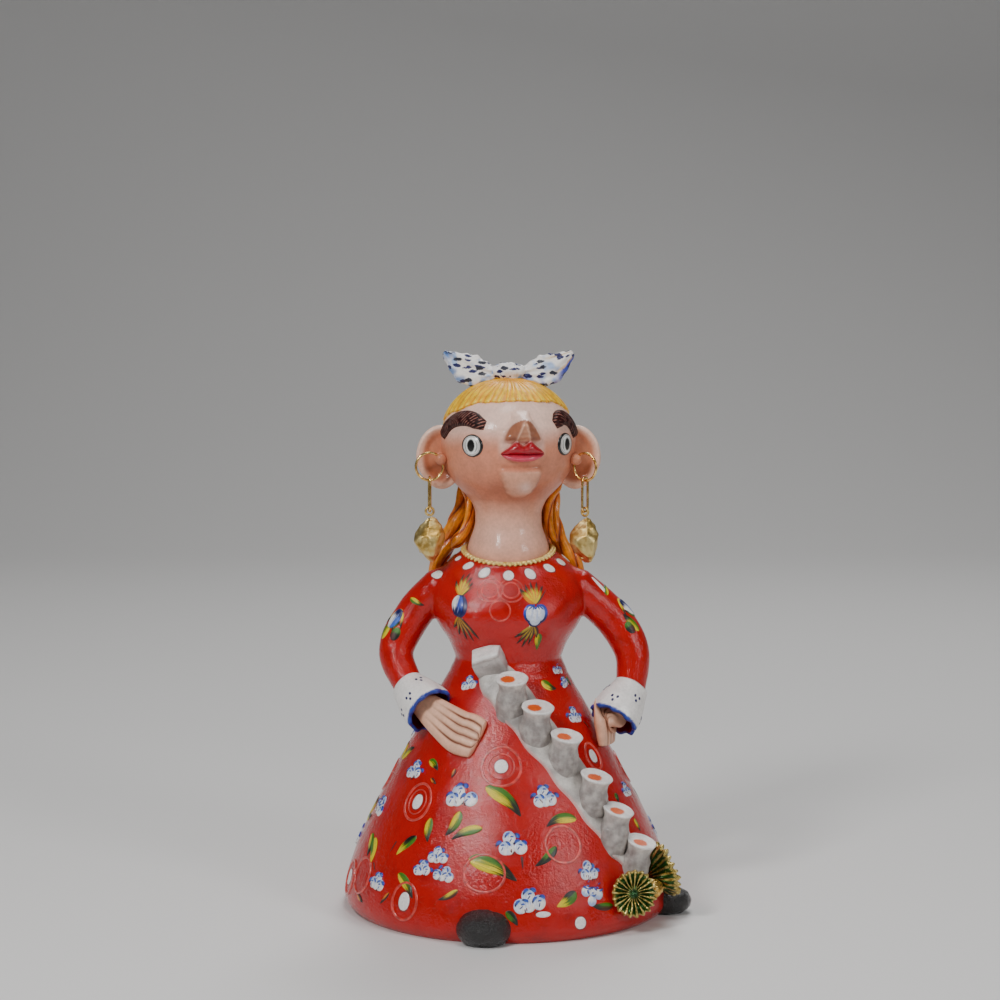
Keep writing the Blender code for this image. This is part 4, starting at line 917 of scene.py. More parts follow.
def laid(tree, point, out, proud):
    """A point this far above a skin, straight above or below the given one."""
    found = tree.ray_cast(point + out * 9 * MM, -out, 14 * MM)[0]
    return (found if found is not None else point) + out * proud


def spot(surface, at, x, y, way=1):
    """The point x mm round and y mm up from a place on a surface, and the direction out of it there."""
    u, v = at
    around = (surface(u + 0.5, v) - surface(u - 0.5, v)).length / MM
    upward = (surface(u, v + 0.2 * MM) - surface(u, v - 0.2 * MM)).length / (0.4 * MM)
    u, v = u + x / around, v + y * MM / upward
    return surface(u, v), normal_of(surface, u, v) * way


def patch(surface, tree, at, grid, colour_at=None):
    """A sheet on a skin. grid gives (x, y, proud) in mm for each row and column."""
    rows, paints = [], []
    for line in grid:
        row = []
        for x, y, proud in line:
            point, out = spot(surface, at, x, y)
            row.append(laid(tree, point, out, proud * MM))
            if colour_at:
                paints.append(colour_at(x, y))
        rows.append(row)
    mesh = lofted(rows, closed=False)
    if mesh.polygons[0].normal.dot(spot(surface, at, 0, 0)[1]) < 0:
        mesh.flip_normals()
    if colour_at:
        painted(mesh, paints)
    return mesh


EYE_AZIMUTH, EYE_RADIUS = 44.0, 4.9


def build_eyes(skin):
    for side in (LEFT, RIGHT):
        def paint(x, y):
            radius = math.hypot(x, y) + 0.12 * grain((x, y, side), 1.4)
            pupil = math.hypot(x / 1.75, (y - 0.1) / 2.5)
            mottle = 0.5 + 0.5 * grain((x, y, 3 * side), 0.9)
            colour = blend(srgb(126, 128, 122), srgb(206, 206, 198), mottle)
            colour = blend(colour, srgb(120, 122, 116),
                           0.6 * bump(radius, 3.0, 0.35) + 0.4 * smooth(0.3 - y / 5, 0.4, 1))
            colour = blend(colour, WHITE, smooth(radius, 3.0, 3.4) * (1 - smooth(radius, 3.9, 4.2)))
            colour = blend(colour, srgb(250, 250, 246), bump(pupil, 1.25, 0.17))
            colour = blend(colour, BROWN, 0.8 * bump(radius, 3.75, 0.14))
            colour = blend(colour, BLACK, smooth(radius, 4.12, 4.3))
            return blend(colour, BLACK, 1 - smooth(pupil, 0.93, 1.07))

        grid = []
        for k in range(27):
            radius = EYE_RADIUS * math.sin(0.5 * math.pi * k / 25) if k < 26 else EYE_RADIUS + 0.15
            line = []
            for i in range(97):
                angle = 2 * math.pi * i / 96
                x, y = 1.08 * radius * math.cos(angle), radius * math.sin(angle)
                proud = 1.25 * max(1 - (radius / EYE_RADIUS) ** 2.6,
                                   0) ** 0.6 + (0.18 * bump(radius, 4.5, 0.3)) - 0.05
                line.append((x, y, proud if k < 26 else -0.4))
            grid.append(line)
        mesh = patch(head, skin, (side * EYE_AZIMUTH, -0.3 * MM), grid, paint)
        piece(NAMES[side] + "_painted_eye", mesh, FACE_DETAIL, [NAMES[side] + "_eye"])


BROW_PATH = ((33, 8.4), (50, 10.9), (66, 10.2), (77, 7.2), (85, 2.6))  # azimuth and rise in mm
BROW_SPREAD = {LEFT: 1.0, RIGHT: 0.6}


def build_brows(skin):
    """A thick dark band, scratched in slanting lines down to the pale ground."""
    for side in (LEFT, RIGHT):
        turns = [(side * (33 + (turn - 33) * BROW_SPREAD[side]), rise) for turn, rise in BROW_PATH]
        middles = smooth_path([Vector((turn, rise, 0)) for turn, rise in turns], 44)
        count = len(middles) - 1
        rows, paints = [], []
        for i, middle in enumerate(middles):
            ahead = middles[min(i + 1, count)] - middles[max(i - 1, 0)]
            unit = math.radians(1) * HEAD_HALF_WIDTH / MM
            tangent = Vector((ahead.x * unit, ahead.y, 0)).normalized()
            s = i / count
            width = 3.2 * min(1, 0.62 + 2.6 * s) * min(1, 0.7 + 2.4 * (1 - s))
            row = []
            for k in range(45):
                t = 2 * k / 44 - 1
                x, y = -tangent.y * width * t / unit, tangent.x * width * t
                azimuth, rise = middle.x + x, (middle.y + y) * MM
                point, out = head(azimuth, rise), normal_of(head, azimuth, rise)
                length = s * 62 * BROW_SPREAD[side] * unit
                scratch = math.sin(2 * math.pi * (length + side * 1.6 * t * width * 0.6) / 1.55
                                   + 1.2 * grain((length, t, 0), 3))
                line = smooth(scratch, 0.35, 0.95) * smooth(grain((0.5 * length, 2 * t, side), 1.1), -0.35,
                                                            0.1)
                edge = max(1 - abs(t) ** 4, 0) ** 0.5 * smooth(s, -0.01, 0.05) * (1 - smooth(s, 0.95, 1.01))
                row.append(laid(skin, point, out, (2.0 * edge - 0.32 * line * edge - 0.1) * MM))
                ground = blend(srgb(26, 4, 4), srgb(58, 10, 10), 0.5 + 0.5 * grain(point, 2 * MM))
                paints.append(blend(ground, srgb(196, 132, 116),
                                    0.8 * line * (0.3 + 0.7 * smooth(0.9 - abs(t), 0, 0.4))))
            rows.append(row)
        mesh = lofted(rows, closed=False)
        if mesh.polygons[len(mesh.polygons) // 2].normal.dot(normal_of(head, turns[2][0],
                                                                       turns[2][1] * MM)) < 0:
            mesh.flip_normals()
        painted(mesh, paints)
        piece(NAMES[side] + "_scratched_brow", mesh, BROW_PAINT, [NAMES[side] + "_eyebrow"])


EAR_AZIMUTH, EAR_LEVEL = 84.0, -7.0 * MM
EAR_HALF_REACH, EAR_HALF_HEIGHT = 11.2 * MM, 14.2 * MM
MOUTH_RISE = -3.4
LIP_HALF = 9.6  # mm


def upper_edge(share):
    """Height of the upper lip over the mouth line: two peaks with a dip between them."""
    slope = 7.6 * max(1 - share, 0) ** 0.8
    return min(slope, 6.4) * (1 - 0.36 * bump(share, 0, 0.2)) * (0.9 + 0.12 * bump(share, 0.38, 0.16))


def lip_grid(upper):
    """Rows across a lip, from the mouth line to its outer edge."""
    grid = []
    for k in range(25):
        t = k / 24
        line = []
        for i in range(97):
            x = LIP_HALF * (2 * i / 96 - 1)
            share = abs(x) / LIP_HALF
            if upper:
                edge = upper_edge(share)
            else:
                edge = -3.5 * (1 - share**2.4) ** 0.7 if share < 1 else 0
            y = edge * t - 0.15 * (1 - t)
            dome = math.sin(math.pi * min(0.08 + 0.92 * t, 1)) ** 0.55
            proud = (4.3 if upper else 3.4) * dome * max(1 - share**2.2, 0) ** 0.55 - 0.1
            line.append((x, y, proud))
        grid.append(line)
    return grid


def build_lips(skin):
    def upper_paint(x, y):
        across = abs(x) / LIP_HALF
        edge = max(upper_edge(across), 0.1)
        # The pale rim along the upper lip's top edge is a painted highlight.
        rim = smooth(y / edge, 0.84, 1.0)
        fleck = 0.35 * smooth(grain((x, 2 * y, 0), 1.2), 0.1, 0.6)
        return blend(blend(LIP_RED, srgb(206, 44, 70), fleck), srgb(240, 176, 166), 0.75 * rim)

    def lower_paint(x, y):
        upper_part = smooth(y, -1.8, -0.6)
        return blend(blend(srgb(222, 84, 108), LIP_PINK, 0.5 + 0.6 * grain((x, 2 * y, 5), 2.0)), LIP_RED,
                     0.6 * upper_part)

    for name, paint in (("upper", upper_paint), ("lower", lower_paint)):
        mesh = patch(head, skin, (0.0, MOUTH_RISE * MM), lip_grid(name == "upper"), paint)
        piece(name + "_painted_lip", mesh, LIP_PAINT, [name + "_lip"])


def ear_plate(side):
    """A round ear with a hollow front and a fold along its top edge, and the paint for any point of it:
    painted shade in the hollow and a painted highlight on the upper rim.
    """
    out, forward = direction(side * 90), direction(0)
    centre = head(side * EAR_AZIMUTH - FACE_TURN, EAR_LEVEL) + out * 0.4 * MM
    outline = []
    for i in range(128):
        angle = 2 * math.pi * i / 128
        narrow = 1 - 0.14 * smooth(-math.sin(angle), 0.1, 1.0)
        outline.append((EAR_HALF_REACH * math.cos(angle) * narrow, EAR_HALF_HEIGHT * math.sin(angle)))
    rows = []
    for share, back in [*((k / 60, False) for k in range(61)), *((1 - k / 24, True) for k in range(1, 25))]:
        row = []
        for x, z in outline:
            c, d = x / EAR_HALF_REACH, z / EAR_HALF_HEIGHT
            hollow = math.hypot(share * c / 0.78, (share * d - 0.04) / 0.84)
            front = 1.75 * max(1 - share**8,
                               0) ** 0.5 + 0.7 * bump(share, 0.92, 0.08) * smooth(d + 0.5, 0, 0.5)
            depth = -2.3 * max(1 - share**3, 0) ** 0.5 if back else front - 1.7 * smooth(1.0 - hollow, 0, 0.4)
            row.append(centre + out * x * share + UP * z * share + forward * depth * MM)
        rows.append(row)

    def paint(p):
        local = p - centre
        c, d = local.dot(out) / EAR_HALF_REACH, local.z / EAR_HALF_HEIGHT
        # Darker in the hollow, most of all low in it: painted shade.
        inside = smooth(1.08 - math.hypot(c / 0.78, (d - 0.04) / 0.84), 0,
                        0.3) * smooth(local.dot(forward) / MM, -1.5, -0.5)
        colour = blend(srgb(232, 178, 152), srgb(206, 132, 100), inside)
        colour = blend(colour, srgb(160, 84, 54), 0.75 * inside * smooth(-d, -0.25, 0.5))
        # Lighter on the upper part of the rim: painted highlight.
        return blend(colour, srgb(246, 208, 188),
                     0.8 * bump(math.hypot(c, d), 0.95, 0.07) * smooth(d, -0.3, 0.4))

    return lofted(rows), paint


def build_ears():
    """Each ear carries its earring in a pierced lug at the front."""
    for side in (LEFT, RIGHT):
        name = NAMES[side]
        plate, paint = ear_plate(side)
        pierced = Vector(joint_named(name + "_hoop_swing")["pos_m"])
        slide = joint_named(name + "_link_slide")
        facing, spoke = Vector(slide["axis"]).normalized(), Vector(slide["pos_m"]) - pierced
        along = facing.cross(spoke).normalized()
        lug = [pierced + direction(0) * step * 4.6 * MM for step in (0.42, 0.3, 0.1, -0.4, -1.0)]
        lug = smooth_path(lug, 4)
        peg = tube(lug, [2.5 * MM] * len(lug), frames_along(lug, UP), 40)
        mesh = remeshed([plate, peg], 0.30 * MM, 5)
        mesh = bored(mesh, pierced, along, 1.35 * MM, 6 * MM)
        dye(mesh, paint)
        piece(name + "_modelled_ear", mesh, SKIN_PAINT, [name + "_ear"])


# ---------------------------------------------------------------- the hair and the bow

HAIRLINE = ((0, 18.4), (45, 17.6), (80, 13.0), (104, 8.8), (166, -17.5), (180, -17.5))  # azimuth, rise in mm


def build_cap():
    """Combed hair: grooves that run out from the crown, and a fringe with a scalloped edge."""
    rows, paints = [], []
    count, steps = 720, 90
    for k in range(steps + 7):
        row = []
        share = min(k / steps, 1.0)
        for i in range(count):
            azimuth = signed(360 * i / count)
            comb = azimuth + 9 * (1 - share) * math.sin(math.radians(3 * azimuth))
            scallop = 0.35 * abs(math.sin(math.radians(comb * 11.5))) + 0.5 * grain((comb * 0.5, 1, 0), 1.0)
            edge = read_off(HAIRLINE, abs(azimuth)) + 0.2 - scallop * 0.8
            last = math.acos(min(edge / 26, 1)) if edge > 0 else 0.5 * math.pi + math.asin(min(-edge / 26.5,
                                                                                               1))
            turn = last * (0.02 + 0.98 * share)
            rise = (CROWN_HEIGHT if edge > 0 or turn < 0.5 * math.pi else JAW_HEIGHT) * math.cos(turn)
            groove = math.sin(math.radians(comb * 46) + 2.2 * grain((comb * 0.15, share * 2.5, 0), 1.0))
            wide = math.sin(math.radians(comb * 11.5 + 90))
            fade = smooth(share, 0.05, 0.3)
            thick = 1.75 - 0.9 * share**3 + (0.13 * groove + 0.08 * wide) * fade
            if k > steps:
                thick *= 1 - ((k - steps) / 6) ** 2
                thick -= 0.25 * (k - steps) / 6
            row.append(off(head, azimuth, rise, thick * MM))
            tone = grain((comb * 0.32, share * 5, 9), 1.0)
            # Lighter on the combed ridges: painted highlight.
            yellow = blend((0.94, 0.42, 0.002), (1.0, 0.64, 0.01), 0.5 + 0.3 * groove + 0.9 * tone)
            yellow = blend(yellow, srgb(150, 120, 20),
                           0.45 * smooth(grain((comb * 0.55, share * 9, 2), 1.0), 0.42, 0.62))
            crown = 1 - smooth(turn, 0.22, 0.75)
            colour = blend(yellow, (0.85, 0.26, 0.003),
                           0.75 * crown * (0.6 + 0.4 * grain((comb * 0.2, share * 3, 4), 1.0)))
            # Pale yellow on the ridges near the fringe's edge: painted highlight.
            colour = blend(colour, srgb(252, 226, 110), 0.5 * smooth(share, 0.9, 1.0) * smooth(groove, 0, 1))
            # Darker in the grooves: painted shade.
            paints.append(blend(colour, srgb(214, 128, 10), 0.5 * smooth(-groove, 0.5, 1.0)))
        rows.append(row)
    piece("combed_hair", painted(lofted(rows), paints), HAIR_PAINT, ["hair_cap"])


def spine(name, count):
    """Middles, half widths and half depths down a lock, sliced out of its solid."""
    mesh = frame["nodes"][name].data
    low, high = box(name)
    found = []
    for k in range(count):
        level = high.z - 0.4 * MM - (high.z - low.z - 1.2 * MM) * k / (count - 1)
        points = []
        for edge in mesh.edges:
            first, second = (mesh.vertices[i].co for i in edge.vertices)
            if (first.z - level) * (second.z - level) < 0:
                points.append(first.lerp(second, (level - first.z) / (second.z - first.z)) - AXIS)
        middle = sum(points, Vector()) / len(points)
        out = Vector((middle.x, middle.y, 0)).normalized()
        across = UP.cross(out)
        reach = [point.dot(out) for point in points]
        sides = [point.dot(across) for point in points]
        centre = out * 0.5 * (min(reach) + max(reach)) + across * 0.5 * (min(sides) + max(sides)) + UP * level
        found.append((AXIS + centre, 0.5 * (max(sides) - min(sides)), 0.5 * (max(reach) - min(reach))))
    return found


def build_locks():
    """Each lock is a rope of three thick strands that waves from side to side as it hangs."""
    for name in [node for node in frame["nodes"] if node.startswith("hair_lock")]:
        rows = spine(name, 11)
        path = smooth_path([row[0] for row in rows], 14)
        sizes = smooth_path([Vector((row[1], row[2], 0)) for row in rows], 14)
        seed = sum(ord(letter) for letter in name)
        frames = frames_along(path, lambda i,
                              path=path: Vector((path[i].x - AXIS.x, path[i].y - AXIS.y, 0)).normalized())
        rings, paints = [], []
        count = len(path) - 1
        travelled = 0.0
        for i, point in enumerate(path):
            travelled += (point - path[i - 1]).length / MM if i else 0
            across, out = frames[i]
            width, depth = max(sizes[i].x, 1.2 * MM), max(sizes[i].y, 1.2 * MM)
            end = taper(i / count, 0.93, 0.075)
            start = taper(0.03 - i / count, 0, 0.031)
            swing = 0.10 * math.sin(0.42 * travelled + seed)
            row = []
            for k in range(64):
                angle = 2 * math.pi * k / 64
                twist = angle + 0.13 * travelled
                strand = abs(math.sin(1.5 * twist)) ** 0.7
                hairs = math.sin(15 * angle + 2.1 * travelled * 0.25
                                 + 1.5 * grain((angle, travelled * 0.2, seed), 0.8))
                size = (0.80 + 0.24 * strand + 0.022 * hairs) * end * start
                row.append(point + across * width * (math.cos(angle) * size + swing)
                           + out * depth * math.sin(angle) * size)
                # Lighter on the crown of each strand: painted highlight.
                colour = blend(srgb(214, 84, 6), srgb(246, 148, 14),
                               strand**1.5 + 0.3 * grain((angle, travelled, seed), 1.2))
                # Dark red between the strands: painted shade.
                colour = blend(colour, srgb(96, 20, 6), 0.95 * smooth(0.46 - strand, 0, 0.36))
                # Darker in the fine grooves of the hair: painted shade.
                paints.append(blend(colour, srgb(160, 70, 20), 0.3 * smooth(-hairs, 0.5, 1)))
            rings.append(row)
        piece("rope_" + name.replace("hair_", ""), painted(lofted(rings), paints), LOCK_PAINT, [name])


def build_bow():
    top = AXIS + UP * (HEAD_LEVEL + CROWN_HEIGHT + 2 * MM)
    knot = ball(top + UP * 2.2 * MM, (direction(90), direction(0), UP), (7.6 * MM, 4.8 * MM, 4.0 * MM), 40,
                64)
    pushed(knot, lambda p: (0.5 * abs(math.sin((p.x - AXIS.x) / (1.35 * MM))) + 0.5 * grain(p, 2 * MM)) * MM
           - 0.2 * MM)
    dye(knot, lambda p: blend(WHITE, PALE_BLUE, smooth(grain(p, 2.6 * MM), 0.15, 0.5)))
    piece("tied_knot", knot, BOW_PAINT, ["bow_knot"])
    facing = (direction(0) + UP * 0.25).normalized()
    for side in (LEFT, RIGHT):
        rise = math.radians(21)
        along = direction(side * 95) * math.cos(rise) + UP * math.sin(rise)
        root = top + UP * 1.6 * MM + direction(side * 90) * 5.2 * MM
        path = smooth_path([root + along * 25 * MM * s - UP * 2.4 * MM * math.sin(math.pi * s) for s in
                            (0, 0.2, 0.42, 0.62, 0.8, 0.93, 1)], 10)
        widths = smooth_path([Vector((6.6 * w, 0, 0)) for w in (0.40, 0.74, 1.05, 0.94, 0.62, 0.36, 0.18)],
                             10)
        frames = frames_along(path, facing)
        rows, paints = [], []
        count = len(path) - 1
        for i, point in enumerate(path):
            s = i / count
            across, out = frames[i]
            upward = across if across.z > 0 else -across
            end = taper(s, 0.95, 0.052)
            row = []
            for k in range(72):
                angle = 2 * math.pi * k / 72
                t = math.sin(angle)
                fold = 0.16 * math.sin(5.5 * t + 2.6 * s * side) + 0.10 * math.sin(11 * t - 5 * s)
                depth = 2.5 * (1 + fold) * (0.8 + 0.3 * s)
                lower = 1 + 0.16 * bump(s, 0.5, 0.22) if t < 0 else 0.92
                width = widths[i].x * lower * (1 + 0.05 * math.sin(34 * s + 2 * t))
                moved = point + upward * width * t * end * MM + out * depth * math.cos(angle) * end * MM
                row.append(moved + out * 0.3 * grain(moved, 1.7 * MM) * MM)
                if side == LEFT:
                    blue_tip = smooth(s, 0.6, 0.85) * bump(t, 0.0, 0.8)
                else:
                    blue_tip = smooth(-t, 0.45, 0.75) * smooth(s, 0.35, 0.6)
                low_blue = 0.9 * smooth(-t, 0.3, 0.9) * smooth(grain(moved, 3 * MM), -0.2, 0.3)
                colour = blend(WHITE, PALE_BLUE, 0.8 * smooth(grain(moved, 3.2 * MM, 7), 0.15, 0.6))
                colour = blend(colour, srgb(16, 110, 190) if side == LEFT else srgb(4, 44, 170),
                               max(0.95 * blue_tip, 0.9 * low_blue))
                # Gold-brown along the troughs of the folds: painted shade in the folds.
                gold = smooth(math.sin(5.5 * t + 2.6 * s * side), -0.75, -0.98) * smooth(s, 0.3, 0.6)
                paints.append(blend(colour, srgb(206, 160, 82),
                                    0.75 * gold if side == RIGHT else 0.25 * gold))
            rows.append(row)
        piece(f"{NAMES[side]}_bow_loop", painted(lofted(rows), paints), BOW_PAINT,
              [f"bow_{NAMES[side]}_loop"])


# ---------------------------------------------------------------- the earrings


def joint_named(name):
    return next(joint for joint in frame["joints"] if joint["name"] == name)


def wire(path, radius, facing):
    rows = []
    for i, point in enumerate(path):
        tangent = (path[(i + 1) % len(path)] - path[i - 1]).normalized()
        size = radius * (1 + 0.05 * grain(point, 2 * MM))
        rows.append(ring(point, tangent.cross(facing), facing, size, size, 20))
    return looped(rows)


def build_earrings():
    for side in (LEFT, RIGHT):
        name = NAMES[side]
        slide, swing = joint_named(name + "_link_slide"), joint_named(name + "_drop_swing")
        centre, facing = Vector(slide["pos_m"]), Vector(slide["axis"]).normalized()
        foot = Vector(swing["pos_m"])
        reach = UP.cross(facing).normalized()
        circle = [centre + (reach * math.cos(a) + UP * math.sin(a)) * 6 * MM for a in
                  (2 * math.pi * i / 128 for i in range(128))]
        piece(name + "_ear_wire", wire(circle, 0.55 * MM, facing), WIRE, [name + "_hoop"], name + "_hoop")
        top = box(name + "_link")[1].z - 0.55 * MM
        bends = []
        for level, first in ((top - 1.9 * MM, 0), (foot.z, 180)):
            for step in range(33):
                angle = math.radians(first + 180 * step / 32)
                middle = Vector((foot.x, foot.y, level))
                bends.append(middle + (facing * math.cos(angle) + UP * math.sin(angle)) * 1.9 * MM)
        stretched = []
        for first, second in zip(bends, [*bends[1:], bends[0]], strict=True):
            steps = max(1, round((second - first).length / (0.5 * MM)))
            stretched += [first.lerp(second, k / steps) for k in range(steps)]
        piece(name + "_wire_link", wire(stretched, 0.55 * MM, reach), WIRE, [name + "_link"], name + "_link")
        build_drop(name, foot, reach, facing, side)


def build_drop(name, foot, reach, facing, side):
    """A lumpy nugget with flats on it, on a flat loop that hangs on the link."""
    eye = foot - UP * 1.9 * MM
    length = 21.5 * MM
    rows = []
    profile = ((0.0, 0.10), (0.02, 0.3), (0.06, 0.56), (0.2, 0.9), (0.38, 1.0), (0.58, 0.94), (0.76, 0.74),
               (0.9, 0.48),
               (0.97, 0.3), (1.0, 0.16))
    for k in range(61):
        share = k / 60
        width = read_off(profile, share)
        middle = eye - UP * (length * (1 - share)
                             + 1.3 * MM) + facing * side * 0.5 * MM * math.sin(math.pi * share)
        rows.append(ring(middle, reach, facing, 7.2 * MM * width, 6.0 * MM * width, 72))
    nugget = lofted(rows)

    def lump(p):
        local = (p - eye) / MM
        flats = 0.0
        for k in range(9):
            turn, slope = 2.4 * k + side, 0.9 * math.sin(1.7 * k)
            away = (reach * math.cos(turn) + facing * math.sin(turn) + UP * slope).normalized()
            flats = max(flats, (local + UP * 12.5).dot(away) - 5.5 - 0.35 * math.sin(3 * k))
        return (-0.8 * flats + 0.3 * grain(p, 4.5 * MM, side) + 0.07 * grain(p, 1.5 * MM)) * MM

    pushed(nugget, lump)
    tab = [eye + (reach * math.cos(a) + UP * math.sin(a)) * 1.75 * MM
           for a in (2 * math.pi * i / 64 for i in range(64))]
    nugget = joined([nugget, wire(tab, 0.5 * MM, facing)])
    piece(name + "_gilt_drop", nugget, DROP_GILT, [name + "_drop"], name + "_drop")


# ---------------------------------------------------------------- cuffs and hands

CUFF_LENGTH, CUFF_START, CUFF_RIM = 18 * MM, 8.2 * MM, 11.3 * MM


def cuff_frame(side):
    path, along = arm_path(side)
    out = direction(side * 90)
    across = (out - along * out.dot(along)).normalized()
    return path[-1], across, along.cross(across), along


def cuff_surface(side):
    origin, across, deep, along = cuff_frame(side)

    def surface(angle, distance):
        share = distance / CUFF_LENGTH
        flared = CUFF_START + (CUFF_RIM - CUFF_START) * smooth(share, 0.0, 0.95) ** 0.8
        radius = flared + 0.5 * MM * math.sin(math.pi * share)
        turn = math.radians(angle)
        wave = 0.55 * MM * math.sin(math.radians(9 * angle)) * smooth(share, 0.6, 1.0)
        return origin + (across * math.cos(turn) + deep
                         * math.sin(turn)) * (radius - 0.3 * MM + 0.5 * wave) + along * (distance + wave)

    return surface


def build_cuff(side):
    surface = cuff_surface(side)
    origin, _, _, along = cuff_frame(side)
    rows, paints = [], []
    outer = [(-0.6, 0.0), (0.0, 0.0), *((0.5 * k, 0.0) for k in range(1, 36))]
    inner = [(17.9, 1.4), *((17.4 - 0.7 * k, 1.5) for k in range(1, 22))]
    for distance, inward in [*outer, *inner]:
        row = []
        for i in range(160):
            angle = 2.25 * i
            point = surface(angle, max(distance, 0) * MM)
            spine_point = origin + along * distance * MM
            inside = (spine_point - point).normalized()
            start = 0.5 * MM if distance < 0 else 0
            lump = 0.14 * grain(point, 4.5 * MM)
            row.append(point + inside * (inward * MM + start)
                       + along * (distance * MM if distance < 0 else 0) - inside * lump * MM)
            rim = smooth(distance + 0.35 * math.sin(math.radians(9 * angle)), 16.5, 16.95)
            colour = blend(WHITE, srgb(30, 60, 160), rim)
            if inward:
                colour = blend(srgb(120, 14, 14), srgb(30, 60, 160), smooth(distance, 17.0, 17.6))
            paints.append(colour)
        rows.append(row)
    mesh = looped(list(zip(*rows, strict=True)))
    order = [paints[j * 160 + i] for i in range(160) for j in range(len(rows))]
    painted(mesh, order)
    piece(NAMES[side] + "_flared_cuff", mesh, CUFF_PAINT, [NAMES[side] + "_cuff"])
    return tree_of(mesh)


KNUCKLE_PLACE = {LEFT: (-35.0, 83.0, 1.6), RIGHT: (73.0, 82.5, 6.5)}  # azimuth, height in mm, above the skirt
TIP_PLACE = {LEFT: (-18.0, 80.0, 1.6), RIGHT: (72.0, 72.5, 1.6)}


def build_hand(side):
    """A flat mitten with four cut lines between the fingers and squared tips."""
    path, along = arm_path(side)
    wrist = path[-1]
    knuckle, tip = (off(skirt, row[side][0], row[side][1] * MM, row[side][2] * MM)
                    for row in (KNUCKLE_PLACE, TIP_PLACE))
    normal = normal_of(skirt, KNUCKLE_PLACE[side][0], KNUCKLE_PLACE[side][1] * MM)
    root, mouth = wrist + along * 6 * MM, wrist + along * 14.4 * MM
    points = [root, root.lerp(mouth, 0.6), mouth, knuckle, knuckle.lerp(tip, 0.55), tip]
    line = smooth_path(points, 20)
    sizes = smooth_path([Vector(v) for v in ((4.6, 4.4, 0), (4.8, 4.1, 0), (6.2, 3.2, 0), (9.2, 2.9, 0),
                                             (9.7, 2.7, 0),
                                              (8.6, 2.0, 0))], 20)
    frames = frames_along(line, normal)
    rows, paints = [], []
    count = len(line) - 1
    for i, point in enumerate(line):
        s = i / count
        across, out = frames[i]
        end = taper(s, 0.965, 0.036, 0.03)
        row = []
        for k in range(112):
            angle = 2 * math.pi * k / 112
            c, d = math.cos(angle), math.sin(angle)
            x = math.copysign(abs(c) ** 0.75, c)
            y = math.copysign(abs(d) ** 0.8, d)
            slant = x + 0.05 * (1 - s)
            cuts = max(bump(slant, at, 0.05) for at in (-0.62, -0.24, 0.14, 0.54))
            groove = cuts * smooth(s, 0.42, 0.62) * (1 if d > 0 else 0.4)
            finger = 0.12 * (1 - max(bump(slant, at, 0.14)
                                     for at in (-0.62, -0.24, 0.14, 0.54))) * smooth(s, 0.5, 0.7)
            tips = 1 - 0.10 * cuts * smooth(s, 0.9, 1.0)
            height = sizes[i].y * (1 + finger) * y - (0.75 * groove if d > 0 else -0.3 * groove)
            row.append(point + across * sizes[i].x * x * end * tips * MM + out * height * end * MM)
            # Lighter on the side away from the skirt, darker on the side against it: painted light and shade.
            colour = blend(srgb(206, 136, 104), srgb(240, 188, 158), 0.5 + 0.5 * y)
            # Darker towards the wrist, in the cuff: painted shade.
            colour = blend(colour, srgb(196, 116, 84), 0.5 * smooth(0.5 - s, 0, 0.4))
            # Brown in the cuts between the fingers: painted shade.
            paints.append(blend(colour, srgb(118, 58, 34), min(1.3 * groove, 1)))
        rows.append(row)
    piece(NAMES[side] + "_modelled_hand", painted(lofted(rows), paints), SKIN_PAINT, [NAMES[side] + "_hand"])


# ---------------------------------------------------------------- sash, rosette and shoes

SASH_PATH = ((-17, 108.0), (3, 97.5), (19, 84.5), (32, 69.5), (41, 54.0), (48, 40.0),
             (53, 27.0))  # azimuth, mm
ROLL_PLACES = ((2.4, 102.4), (17.6, 90.9), (31.0, 78.8), (40.6, 61.9), (45.9, 47.9), (51.9, 34.3))
ROLL_PROUD, ROLL_TILT = 9.0, 18.0
SHADE = srgb(150, 142, 138)


def build_strip(skin):
    """The white band under the pleats, with a wavy edge painted pale pink."""
    middles = smooth_path([Vector((azimuth, height, 0)) for azimuth, height in SASH_PATH], 30)
    rows, paints = [], []
    count = len(middles) - 1
    for i, middle in enumerate(middles):
        ahead = middles[min(i + 1, count)] - middles[max(i - 1, 0)]
        unit = math.radians(1) * skirt_radius(middle.y * MM) / MM
        tangent = Vector((ahead.x * unit, 1.12 * ahead.y, 0)).normalized()
        s = i / count
        end = min(1, 0.75 + 3 * s) * min(1, 0.7 + 3 * (1 - s))
        row = []
        for k in range(41):
            t = 2 * k / 40 - 1
            wave = 0.5 * math.sin(2 * math.pi * s * 6.0) * (1 if t < 0 else 0.3)
            width = (8.9 * end + wave) * t
            x, y = -tangent.y * width / unit, tangent.x * width / 1.12
            azimuth, height = middle.x + x, (middle.y + y) * MM
            edge = max(1 - abs(t) ** 8, 0) ** 0.5 * smooth(s, -0.005, 0.012) * (1 - smooth(s, 0.988, 1.005))
            point, out = skirt(azimuth, height), normal_of(skirt, azimuth, height)
            row.append(laid(skin, point, out, (1.65 * edge + 0.15 * grain(point, 3 * MM) * edge - 0.1) * MM))
            colour = blend(OFF_WHITE, SHADE, 0.5 + 0.8 * grain(point, 5 * MM))
            paints.append(blend(colour, srgb(238, 186, 180), 0.8 * smooth(abs(t), 0.86, 0.98)))
        rows.append(row)
    mesh = lofted(rows, closed=False)
    if mesh.polygons[len(mesh.polygons) // 2].normal.dot(direction(30)) < 0:
        mesh.flip_normals()
    painted(mesh, paints)
    piece("sash_band", mesh, SASH_PAINT, ["sash_strip"])


